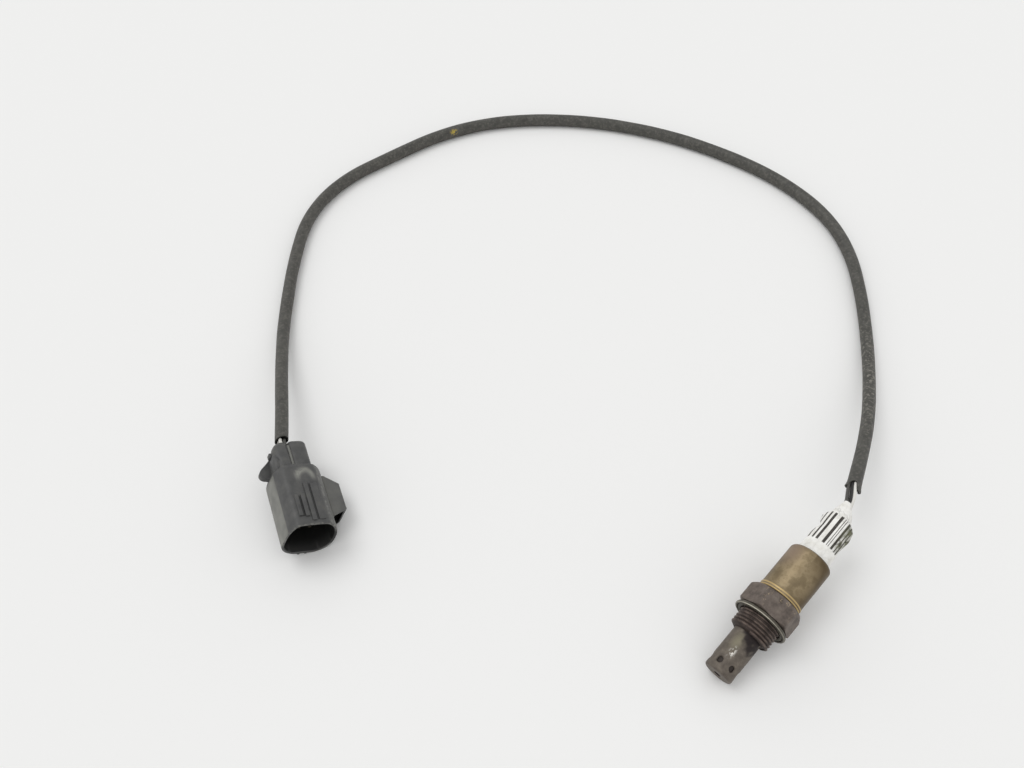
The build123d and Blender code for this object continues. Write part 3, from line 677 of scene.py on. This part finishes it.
# gasket: loose ring of folded sheet, leaning against the hexagon
gasket = {
    "middle": 1.338,  # mm in front of the seal seat
    "lean": -3.5,  # degrees
    # the folded sheet across the ring: place along the axis and radius
    "outline": [
        (-0.4, 9.2), (-0.6, 9.4), (-0.6, 10.7), (-0.35, 11.4), (0, 11.8), (0.4, 12), (0.8, 12.02), (1.02, 11.9),
        (1.14, 11.7), (1.15, 11.45), (1.1, 11), (0.9, 10.88), (0.6, 10.8), (0.9, 10.7), (1.1, 10.55),
        (1.1, 9.5), (0.92, 9.27), (0.6, 9.2),
    ],
    "rimFrom": (0.95, 11.6),  # place and radius past which its rim carries a painted highlight
    "rimTurn": 12,  # degrees towards -Y, where the painted highlight is brightest
    "rimFade": [(0, 1), (22, 1), (45, 0.45), (80, 0.3), (180, 0.1)],
}


def makeGasket():
    place = sensorPlace @ Matrix.Translation((gasket["middle"], 0, 0))
    place = place @ Matrix.Rotation(math.radians(gasket["lean"]), 4, "Y")
    bm = turned(gasket["outline"], closed=True)

    # painted highlight: bright along the front rim near the top, fading around its sides and bottom
    def rimAt(point):
        along, reach = gasket["rimFrom"]
        bright = 1 if point.x > along and fromAxis(point) > reach else 0
        return bright * between(abs(aroundAxis(point) + gasket["rimTurn"]), gasket["rimFade"])

    finishPiece(bm, "gasketRing", place, "gasket", ["seal_gasket"], "gasket_steel", 50, rim=rimAt)


makeGasket()


# vented tip: six punched side holes and one in its end
tip = {
    "radius": 6.25,
    "start": 8.6,
    "end": 30,
    "shoulder": 1,
    "holeMiddle": 25.6,
    "holeTurn": -23.7,  # degrees around the tube to the first hole
    # from the patch's square edge to the hole's lip: share of the way to a circle, its radius, how deep it is
    "holeRings": [(0, 0, 0), (0.35, 2.6, 0), (0.7, 2.2, 0), (1, 1.9, 0.02), (1, 1.65, 0.1), (1, 1.5, 0.26),
                  (1, 1.4, 0.5), (1, 1.34, 0.75)],
    "patch": 2.9,  # half the length of tube that each hole's patch takes
    "endHole": 1.3,
    "wall": 0.45,
    # the tube within, seen through the holes: place along the axis and radius
    "inner": [(8.4, 4.9), (8.4, 5.3), (27.6, 5.3), (28.3, 5), (28.6, 4.3), (28.6, 1.4), (28.2, 1.4), (28.2, 4.1),
              (27.6, 4.9)],
    # middle along, reach along, turn and reach around in degrees
    "olive": (15.5, 6.5, -14, 34),
    "scuffed": (20.4, 3.6, -4, 17),
}


def holePatch(bm, turn):
    # a sixth of the tube's side, drawn in from its square edge to the punched hole
    long = tip["patch"]
    square = [(-30 + 3 * number, -long) for number in range(20)]
    square += [(30, -long + long * number / 8) for number in range(16)]
    square += [(30 - 3 * number, long) for number in range(20)]
    square += [(-30, long - long * number / 8) for number in range(16)]
    perDegree = math.radians(1) * tip["radius"]
    loops = []
    for blend, radius, drop in tip["holeRings"]:
        loop, reach = [], tip["radius"] - drop
        for arc, along in square:
            angle = math.atan2(along, arc * perDegree)
            roundArc, roundAlong = math.cos(angle) * radius / perDegree, math.sin(angle) * radius
            x = tip["holeMiddle"] + along + (roundAlong - along) * blend
            angle = math.radians(turn + arc + (roundArc - arc) * blend)
            loop.append((x, reach * math.sin(angle), reach * math.cos(angle)))
        loops.append(loop)
    loft(bm, loops, False, False)


def makeTip():
    bm = bmesh.new()
    low, high = tip["holeMiddle"] - tip["patch"], tip["holeMiddle"] + tip["patch"]
    end, hole, shoulder = tip["end"], tip["endHole"], tip["shoulder"]
    clock = math.radians((tip["holeTurn"] + 30) % 3)
    rear = spread(tip["start"], low, 26)
    roundSkin(bm, rear, lambda number, x, angle: tip["radius"], 120, False, False, clock)
    front = [(high, tip["radius"])]
    for step in range(0, 7):
        bend = math.radians(15 * step)
        front.append((end - shoulder * (1 - math.sin(bend)), tip["radius"] - shoulder * (1 - math.cos(bend))))
    front += [(end + 0.02, 3.5), (end, hole + 0.5), (end - 0.1, hole + 0.15), (end - 0.3, hole), (end - 0.7, hole)]
    roundSkin(bm, [x for x, radius in front], lambda number, x, angle: front[number][1], 120, False, False, clock)
    for number in range(6):
        holePatch(bm, tip["holeTurn"] + 60 * number)
    bmesh.ops.remove_doubles(bm, verts=bm.verts, dist=0.002)
    bmesh.ops.recalc_face_normals(bm, faces=bm.faces)
    bmesh.ops.solidify(bm, geom=bm.faces, thickness=tip["wall"])

    def patchAt(point, middle, reach, turn, width):
        return bump01(point.x, middle, reach) * bump01(aroundAxis(point), turn, width)

    def sootAt(point):
        # soot with painted shade under the thread, drawn out along its shaded right side, and painted shade in the
        # end hole
        ragged = 4 * noise.noise(point * 0.5)
        middle = between(point.x, [(10, 24), (16, 48)])
        below = between(abs(aroundAxis(point) - middle) + ragged * 4, [(0, 1), (38, 1), (50, 0)])
        inHole = 1 if point.x > end - 0.8 and fromAxis(point) < hole + 0.4 else 0
        return max(inHole, below * between(point.x + ragged, [(10, 1), (14, 0.95), (16.8, 0)]))

    finishPiece(
        bm, "ventedTip", sensorPlace, "tip", ["outer_protection_tube"], "tip_steel", 50,
        olive=lambda point: 0.65 * patchAt(point, *tip["olive"]),
        soot=sootAt,
        scuff=lambda point: patchAt(point, *tip["scuffed"]),
    )


makeTip()
inner = turned(tip["inner"], closed=True)
finishPiece(inner, "innerTube", sensorPlace, "innerTip", ["inner_protection_tube"], "tip_steel", 40)
print("gasket and tip made")


# cover: deep-drawn can, laser-welded to the shell with a double bead
cover = {
    "radius": 9.5,
    "end": -33.65,
    "corner": 2,
    "wall": 0.5,
    "wallFrom": -14,
    "mouth": 7.3,
    # its front edge and the weld's two ridges: place along the axis and radius
    "bead": [(-9.5, 8.95), (-9.5, 9.15), (-9.95, 9.15), (-10.05, 9.5), (-10.35, 9.78), (-10.7, 9.8),
             (-10.95, 9.66), (-11.35, 9.62), (-11.6, 9.72), (-11.95, 9.74), (-12.2, 9.62), (-12.6, 9.52),
             (-13.2, 9.5)],
    "ridgeFrom": 9.7,  # radius past which the weld is bright
    # the middle of its painted highlight and its pink tint with painted light: place and reach along, turn and
    # reach around in degrees
    "golden": (-19.7, 15, 8, 78),
    "pink": (-29, 11, -50, 46),
    "sides": (1.7, 0.45),  # how fast the painted shade deepens to the right and to the left of the painted highlight
    "darkEnds": (-33.3, -10),  # behind and in front of these it is dark
}


def makeCover():
    radius, corner, wall = cover["radius"], cover["corner"], cover["wall"]
    bend = cover["end"] + corner
    outline = cover["bead"] + [(x, radius) for x in spread(cover["wallFrom"], bend, 26)]
    inside = []
    for step in range(1, 7):
        turn = math.radians(15 * step)
        for line, reach in ((outline, corner), (inside, corner - wall)):
            line.append((bend - reach * math.sin(turn), radius - corner + reach * math.cos(turn)))
    outline += [(cover["end"], cover["mouth"]), (cover["end"] + wall, cover["mouth"])]
    outline += inside[::-1] + [(bend, radius - wall), (cover["wallFrom"], radius - wall)]
    bm = turned(outline, closed=True)

    def awayFrom(point, spot):
        x, reach, turn, width = spot
        return (point.x - x) / reach, (aroundAxis(point) - turn) / width

    # painted shade: darker brown the further from the painted highlight near the top, most on the right side
    def brownedAt(point):
        along, around = awayFrom(point, cover["golden"])
        shade = around * around + along * along * 0.6
        shade *= cover["sides"][0] if around > 0 else cover["sides"][1]
        return min(shade, 0.9)

    # pink tint with painted light: lighter at the rear on its left, lamp side
    def pinkedAt(point):
        return 0.75 * bump01(math.hypot(*awayFrom(point, cover["pink"])), 0, 1)

    def beadAt(point):
        return 0.75 if fromAxis(point) > cover["ridgeFrom"] else 0

    def rimAt(point):
        rear, front = cover["darkEnds"]
        return 0 if rear <= point.x <= front else 1

    finishPiece(
        bm, "drawnCover", sensorPlace, "cover", ["rear_cover"], "cover_steel", 40,
        browned=brownedAt, pinked=pinkedAt, bead=beadAt, rim=rimAt,
    )


makeCover()


# rubber behind the cover, with the neck that the paper wraps: place along the axis and radius
grommet = {
    "outline": [(-28.6, 0), (-28.6, 8.9), (-31.7, 8.9), (-33.1, 7.4), (-33.1, 6.6), (-34.5, 5.1), (-53, 4.9),
                (-54.2, 3), (-54.2, 0)],
}
neck = turned(grommet["outline"])
finishPiece(neck, "grommetBody", sensorPlace, "rubber", ["wire_grommet"], "grommet_rubber")


def creaseAt(x, angle):
    # where the wrap is folded, and how deep it is pressed there
    fold = label["fold"]
    turn = math.degrees(angle)
    spot = Vector((x * fold["along"], math.sin(angle) * fold["around"], math.cos(angle) * fold["around"]))
    line = max(0, 1 - abs(noise.noise(spot)) / fold["width"])
    worn = between(turn, fold["wornAround"]) * between(x, fold["wornAlong"])
    worn = max(worn, bump01(turn, *fold["leftTurn"]) * bump01(x, *fold["leftPlace"]))
    return line * min(0.12 + 0.88 * worn + 0.35 * bump01(x, *fold["neck"]), 1)


def makeLabel():
    segments = label["segments"]
    loops = []
    for x in spread(label["start"], label["end"], label["rings"]):
        left, right, rise = [between(x, label[name]) for name in ("left", "right", "rise")]
        middle, half = (left + right) / 2, (right - left) / 2
        bulge = between(x, label["bulge"])
        loop = []
        for step in range(segments):
            angle = math.tau * step / segments - math.pi
            dent = noise.noise(Vector((x * 0.25, math.sin(angle) * 1.7 + 4, math.cos(angle) * 1.7))) * bulge
            press = label["pressed"] * creaseAt(x, angle) if x < label["smoothTo"] else 0
            grow = dent - press
            loop.append((x, middle + (half + grow) * math.sin(angle), (rise + grow) * math.cos(angle)))
        loops.append(loop)
    bm = loft(bmesh.new(), loops)

    def turnAt(point):
        # -90 at its left side, 90 at its right, and no bars below
        return 180 if point.z < 0 else math.degrees(math.asin(max(-1, min(1, point.y / label["half"]))))

    def printedAt(point):
        along = label["printTo"] < point.x < label["printFrom"]
        return 1 if along and abs(aroundAxis(point)) < label["printTurn"] else 0

    def stainAt(point):
        return between(point.y, label["stainAcross"]) * between(point.x, label["stainAlong"])

    # painted shade darkening the paper along its creases
    def foldedAt(point):
        return 0.8 * creaseAt(point.x, math.atan2(point.y, point.z))

    finishPiece(
        bm, "creasedWrap", sensorPlace, "label", ["paper_label"], "label_paper", 30,
        turn=turnAt, printed=printedAt, stain=stainAt, crease=foldedAt,
    )


makeLabel()
print("cover and wrap made")


# wires from the wrap's end into the sleeve's mouth, in mm
leads = {
    "radius": 0.72,
    "segments": 20,
    "routes": [
        ("whiteWire", "white_wire", [
            (-54, 1, 11), (-58, 0.2, 12.2), (-62.5, -1.3, 13.3), (-66, -2.1, 13), (-69.6, -3.6, 12.2),
            (-72.8, -5.2, 11.5), (-77, -6.6, 10.2), (-83, -9, 7.6),
        ]),
        ("blackWire", "black_wire", [
            (-55, -1.6, 11.4), (-58, -1.9, 12.2), (-62.9, -2.2, 13.5), (-66.8, -3.9, 12.6), (-70.4, -5.3, 11.7),
            (-74.4, -7, 10.6), (-79, -8.2, 9.2), (-83, -9.6, 7.9),
        ]),
        ("whiteWire", "white_wire", [
            (-54, -1.4, 10.2), (-58, -2, 11), (-63, -2.9, 11.6), (-68, -4.8, 10.6), (-74, -6.9, 8.9),
            (-83, -9.2, 6.6),
        ]),
        ("darkWire", "grey_wire", [
            (-55, -3, 11), (-58, -3.3, 12), (-62.3, -3.7, 13.3), (-66.2, -5.5, 12.4), (-70, -6.9, 11.2),
            (-74.2, -8.4, 10.1), (-79, -9.4, 8.7), (-83, -10.6, 7.2),
        ]),
    ],
}


def makeLeads():
    for number, (finish, slotName, route) in enumerate(leads["routes"], 1):
        steps = pathFrames(smoothRoute(route, 8))
        loops = [tubeLoop(step, leads["radius"] * mm, segments=leads["segments"]) for step in steps]
        bm = loft(bmesh.new(), loops)
        finishPiece(bm, f"leadWire{number}", Matrix(), finish, [f"lead_wire_{number}"], slotName)


makeLeads()


# plug: housing with its mouth towards its own +X and its bracket on its own +Y, in mm
plug = {
    "front": 16.6,
    "rear": -16.6,
    "wall": 1.2,
    "mouthDepth": 18.5,
    "sill": -9.9,  # the mouth's lower wall is thicker and its inner face flat
    # how its rear edge is rounded: along from the rear, and how far in
    "rearEdge": [(1.6, 0.12), (0.7, 0.45), (0.2, 1), (0, 1.6)],
    # outline across the housing: sideways and up
    "section": [
        (-7.2, 11), (-5, 11.4), (0, 11.5), (5.2, 11.2), (8.2, 9.6), (10.6, 6.6), (12, 2.4), (12.3, -2),
        (11.4, -6.6), (8.7, -9.8), (5.2, -11.5), (0, -11.8), (-4.6, -11.5), (-8.6, -9.6), (-10.9, -6.4),
        (-11.5, -3), (-11.4, 0.5), (-11, 4.4), (-10.75, 5.2), (-10.3, 6.6), (-9.6, 8.3), (-8.6, 10),
    ],
    # blocks on it, each as low and high corner and edge radius: ribs along its top
    "ribs": [
        ((1, -6.45, 10.4), (12, -4.75, 12.1), 0.25), ((1, -3.7, 10.4), (12.5, -1.9, 12.2), 0.25),
        ((-5, -1.2, 10.4), (14.8, 0.8, 12.2), 0.25), ((-4.5, 1.9, 10.4), (14.5, 5, 11.9), 0.25),
    ],
    # the floors of the grooves between the ribs, painted dark as shade
    "grooves": [((1.9, -4.76, 10.9), (12.3, -3.69, 11.5), 0.1), ((-4.6, 0.79, 10.9), (14.4, 1.91, 11.55), 0.1)],
    # nubs under its mouth
    "nubs": [((15.2, -2.4, -12.7), (16.4, -1.2, -11), 0.3), ((15.2, 0.8, -12.6), (16.4, 2, -11), 0.3)],
    "bracket": {
        "inner": 11.2, "outer": 18.6, "top": 5.2, "bottom": -6.1, "front": 8.8, "rear": -12.6, "slope": 4.8,
        "wall": 1.3, "corner": 0.4, "lean": 0.42,  # how far its mouth leans back for each mm sideways
    },
    # low arched step near the rear of the top
    "ramp": {"rear": -12, "front": -4.6, "half": 3.5, "height": 1, "spot": (1, 11)},
    # plan of the ear beside the cap: along and sideways
    "ear": [
        (-15.4, -7.9), (-15.2, -12.4), (-15.8, -14.3), (-17, -15.1), (-18.6, -15.1), (-20.6, -13.9),
        (-22.6, -12), (-24, -10.7), (-25.4, -9.5), (-26, -8.4), (-26, -7.9),
    ],
    "earTop": 2.05,
    "earHeight": 2.6,
    # shoulder that joins the ear and the cap: along, sideways from and to, up from and to, corner radius
    "shoulder": [
        (-24.4, -9.3, -6, 1, 7.6, 1.4), (-23.4, -9.7, -6, 0.6, 8.7, 1.8), (-20.4, -10.2, -6, 0.4, 9.2, 2.4),
        (-17, -10.5, -6, 0.4, 9.4, 3.2), (-15.6, -10.3, -6, 0.4, 9.2, 3.2), (-14, -9.6, -6, 0.4, 8.6, 3),
    ],
    # low and high corner of parts painted darker, and how dark: painted shade in the bracket's inside and at the
    # ear's recess, and a darker sill
    "shaded": [
        ((-6.5, 10.2, -4.9), (99, 17.5, 4.1), 1),
        ((-99, -99, -99), (-15, -11.7, 99), 0.1),
        ((16, -99, -99), (99, 99, -9), 0.4),
    ],
    # its left face, painted paler as painted light where the lamp falls on it: low and high corner
    "dustyFace": ((-14, -99, -6), (16.5, -10.6, 5.3)),
    "dustyArch": ((-7.6, 1), (4.2, 3.4)),  # middle and reaches of a painted highlight ring around the ramp
}


def blockLoop(x, y0, y1, z0, z1, corner):
    # rounded rectangle across X
    loop = []
    quarters = ((y1, z1, -1, -1, 0), (y1, z0, -1, 1, 90), (y0, z0, 1, 1, 180), (y0, z1, 1, -1, 270))
    for y, z, inY, inZ, start in quarters:
        for cut in range(6):
            turn = math.radians(start + 18 * cut)
            loop.append((x, y + corner * (inY + math.sin(turn)), z + corner * (inZ + math.cos(turn))))
    return loop


def insetLoop(loop, reach):
    # the same closed outline moved inwards
    moved = []
    for number, (y, z) in enumerate(loop):
        across = (loop[(number + 1) % len(loop)] - loop[number - 1]).normalized()
        moved.append((y + across.y * reach, z - across.x * reach))
    return moved


def addBlock(bm, low, high, edge):
    verts = bmesh.ops.create_cube(bm, size=1)["verts"]
    low, high = Vector(low), Vector(high)
    bmesh.ops.scale(bm, verts=verts, vec=high - low)
    bmesh.ops.translate(bm, verts=verts, vec=(low + high) / 2)
    edges = list({item for vert in verts for item in vert.link_edges})
    bmesh.ops.bevel(bm, geom=edges, offset=edge, segments=3, profile=0.5, affect="EDGES", material=-1)


def addBracket(bm):
    part = plug["bracket"]
    wall, inner, outer, front, lean = [part[name] for name in ("wall", "inner", "outer", "front", "lean")]
    bend = part["rear"] + part["slope"]
    # along, how far out it reaches, how far in its outline is drawn, and how much the ring leans
    rings = [
        (bend + 1, outer, wall, 0), (front - 1, outer, wall, lean), (front, outer, wall, lean),
        (front + 0.15, outer, wall * 0.6, lean), (front, outer, 0, lean), (front - 0.5, outer, 0, lean),
        (front - 4.5, outer, 0, 0), (bend, outer, 0, 0), (part["rear"], inner + 1.25, 0, 0),
    ]
    loops = []
    for along, far, inset, slant in rings:
        near, low, high = inner + inset, part["bottom"] + inset, part["top"] - inset
        ring = blockLoop(along, near, max(far - inset, near + 1.2), low, high, part["corner"])
        loops.append([(x - slant * (y - 12), y, z) for x, y, z in ring])
    loft(bm, loops)


def addRamp(bm):
    # sinks into the top towards the mouth
    ramp = plug["ramp"]
    middle, top = ramp["spot"]
    turns = [math.tau * step / 24 for step in range(24)]
    loops = []
    for x in spread(ramp["rear"], ramp["front"], 11):
        share = (x - ramp["rear"]) / (ramp["front"] - ramp["rear"])
        half = ramp["half"] * math.sqrt(max(1 - (1 - min(share * 2, 1)) ** 2, 0.03))
        rise = ramp["height"] * (1 - 0.6 * share)
        loops.append([(x, middle + half * math.sin(turn), top + rise * math.cos(turn)) for turn in turns])
    loft(bm, loops)


def addEar(bm):
    plan = smoothLoop(plug["ear"], 4)
    top, low = plug["earTop"], plug["earTop"] - plug["earHeight"]
    middle = Vector((-20, -10.5))
    rings = ((low, 0.95), (low + 0.3, 1), (top - 0.3, 1), (top, 0.95))
    loft(bm, [[(*(middle + (point - middle) * share), z) for point in plan] for z, share in rings])


def within(point, low, high, margin=0):
    return all(a - margin < value < b + margin for a, value, b in zip(low, point, high))


def makePlug():
    section = smoothLoop(plug["section"], 5)
    front, rear, wall = plug["front"], plug["rear"], plug["wall"]
    places = [(front - plug["mouthDepth"], wall), (front - 6, wall), (front - 0.3, wall), (front, wall * 0.7)]
    places += [(front, 0.25), (front - 0.25, 0.05), (front - 0.6, 0)]
    places += [(x, 0) for x in spread(front - 1.5, rear + 2.6, 22)]
    places += [(rear + along, inset) for along, inset in plug["rearEdge"]]
    loops = []
    for x, inset in places:
        lowest = plug["sill"] if inset >= wall * 0.7 and x > 0 else -20
        loops.append([(x, y, max(z, lowest)) for y, z in insetLoop(section, inset)])
    bm = loft(bmesh.new(), loops)
    for block in plug["ribs"] + plug["grooves"]:
        addBlock(bm, *block)
    loft(bm, [blockLoop(*station) for station in plug["shoulder"]])
    for block in plug["nubs"]:
        addBlock(bm, *block)
    addBracket(bm)
    addRamp(bm)
    addEar(bm)
    bmesh.ops.recalc_face_normals(bm, faces=bm.faces)
    toPlug = plugPlace.inverted().to_3x3()
    for vert in bm.verts:
        below = (plugPlace @ vert.co).z - floorZ
        if below < 0:
            vert.co -= toPlug @ Vector((0, 0, below))
    reaches = sorted((math.degrees(math.atan2(y, z)), math.hypot(y, z)) for y, z in section)

    # painted shade deep in the mouth, lighter near its lower rim, then on the shaded parts and in the groove
    # floors
    def insideAt(point):
        if -2.2 < point.x < 16.5 and fromAxis(point) < between(aroundAxis(point), reaches) - 1.1:
            return 0.5 if point.x > 14 and point.z < -3 else 1
        for low, high, dark in plug["shaded"]:
            if within(point, low, high):
                return dark
        return 0.85 if any(within(point, low, high, 0.02) for low, high, edge in plug["grooves"]) else 0

    # painted light on the left face, a painted highlight arch around the ramp, and dust along the upper right
    # flank
    def dustAt(point):
        face = 0.6 + 0.3 * noise.noise(point * 0.3) if within(point, *plug["dustyFace"]) else 0
        (x, y), (along, across) = plug["dustyArch"]
        ring = math.hypot((point.x - x) / along, (point.y - y) / across)
        arch = bump01(ring, 1.05, 0.6) * (1.0 + 0.7 * noise.noise(point * 0.4)) if point.z > 9 else 0
        arch *= between(point.x, [(-9, 1), (-6.5, 0)])
        flank = 0.4 * bump01(aroundAxis(point), 58, 26) if abs(point.x) < 16.5 else 0
        return min(max(face, arch, flank), 1)

    # front rim rubbed paler, and a painted highlight along the top right edge
    def rubbedAt(point):
        rim = 0.25 if point.x > 16.2 and point.z > -4 else 0
        return max(rim, 0.3 * bump01(math.hypot(point.y - 7.6, point.z - 10.1), 0, 1.6))

    return finishPiece(
        bm, "plugHousing", plugPlace, "plug", ["connector_housing"], "plug_plastic", 40,
        inside=insideAt, dust=dustAt, rubbed=rubbedAt,
    )


plugHousing = makePlug()


# rear cap: a bulbed lobe over the cable beside a squarer one
cap = {
    # along, sideways from and to, up from and to, corner radius
    "cableLobe": [
        (-16.2, -8.9, -1.4, 2.1, 10.3, 3.2), (-18.6, -8.9, -1.4, 2.1, 10.3, 3.3),
        (-20.4, -8.2, -1.4, 2.1, 10.3, 3.2), (-22.4, -9.1, -1.4, 2.1, 10.3, 3.4),
        (-25, -9.4, -1.4, 2.1, 10.3, 3.6), (-27.6, -8.8, -1.7, 2.4, 10.1, 3.4), (-29.2, -7.8, -1.8, 2.9, 9.6, 2.9),
        (-30.1, -6.6, -1.9, 3.7, 8.8, 2.2), (-30.4, -5.4, -2.1, 4.5, 8, 1.6),
    ],
    "sideLobe": [
        (-16.2, -1.5, 6.7, 2.1, 10.3, 2.2), (-28.4, -1.5, 6.7, 2.1, 10.3, 2.2), (-29.5, -1.45, 6.4, 2.3, 10, 2.1),
        (-30.2, -1.3, 5.7, 2.9, 9.4, 1.9), (-30.4, -1, 4.8, 3.6, 8.7, 1.6),
    ],
    # low and high corner and edge radius of its base, a tooth on its side and the web between the lobes
    "blocks": [
        ((-28.5, -7.8, -5.8), (-16.4, 6.6, 9), 0.7),
        ((-26.4, -10.4, 3.2), (-24, -8.4, 6.2), 0.5),
        ((-28.2, -2.2, 6), (-16.6, -1.2, 9.2), 0.1),
    ],
    "seam": -1.7,  # sideways place of the painted highlight along the seam between the lobes
}


def makeCap():
    bm = bmesh.new()
    for lobe in (cap["cableLobe"], cap["sideLobe"]):
        loft(bm, [blockLoop(*station) for station in lobe])
    for block in cap["blocks"]:
        addBlock(bm, *block)
    bmesh.ops.recalc_face_normals(bm, faces=bm.faces)

    # painted highlight along the seam between the lobes
    def seamAt(point):
        return 0.6 if abs(point.y - cap["seam"]) < 0.6 and point.z > 9.0 else 0

    return finishPiece(
        bm, "plugCap", plugPlace, "cap", ["rear_cap"], "cap_plastic", 50,
        inside=lambda point: 0, dust=seamAt, rubbed=lambda point: 0,
    )


plugCap = makeCap()
print("plug made")


# everything that carries over from the frame
carried = {"crimp_ring": "crimped", "carrier_spring": "tinned", "terminal_lock": "lock"}
for node in ("sensing_element", "front_ceramic_bush", "talc_ring", "rear_ceramic_bush", "contact_carrier"):
    carried[node] = "ceramic"
for number, wire in enumerate(("darkWire", "whiteWire", "blackWire", "whiteWire"), 1):
    carried[f"contact_strip_{number}"] = "tinned"
    carried[f"terminal_pin_{number}"] = "blade"
    carried[f"wire_seal_{number}"] = "rubber"
    carried[f"plug_wire_{number}"] = wire
for node, finish in carried.items():
    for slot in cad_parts[node].material_slots:
        slot.material = finishes[finish]


# floor, light and background
studio = {
    "floorColour": "#efefee",
    "floorMiddle": (-0.05, -0.15),  # m
    "floorGap": 0.02,  # mm below the parts
    "floorHalf": 3,  # m
    "worldStrength": 0.82,
    "keySpot": (0.15, -0.75, 1.1),
    "keyPower": 0.66,
    "keySpread": 34,  # degrees, for soft shadows
}


def makeStudio():
    middle = Vector((*studio["floorMiddle"], floorZ - studio["floorGap"] * mm))
    bm = bmesh.new()
    bmesh.ops.create_grid(bm, x_segments=1, y_segments=1, size=studio["floorHalf"])
    bmesh.ops.translate(bm, verts=bm.verts, vec=middle)
    material = newMaterial("matteBoard", rough=0.9)[0]
    shader = material.node_tree.nodes["Principled BSDF"]
    shader.inputs["Base Color"].default_value = hexColour(studio["floorColour"])
    shader.inputs["Specular IOR Level"].default_value = 0.1
    addObject(bm, "floor", material)
    lampData = bpy.data.lights.new("key", "SUN")
    lampData.energy = studio["keyPower"]
    lampData.angle = math.radians(studio["keySpread"])
    lamp = bpy.data.objects.new("key", lampData)
    lamp.location = studio["keySpot"]
    lamp.rotation_euler = (middle - lamp.location).to_track_quat("-Z", "Y").to_euler()
    scene.collection.objects.link(lamp)
    world = bpy.data.worlds.new("studio")
    world.use_nodes = True
    background = world.node_tree.nodes["Background"]
    background.inputs["Strength"].default_value = studio["worldStrength"]
    background.inputs["Color"].default_value = (1, 1, 1, 1)
    scene.world = world
    scene.view_settings.view_transform = "Standard"
    print("studio made")


makeStudio()
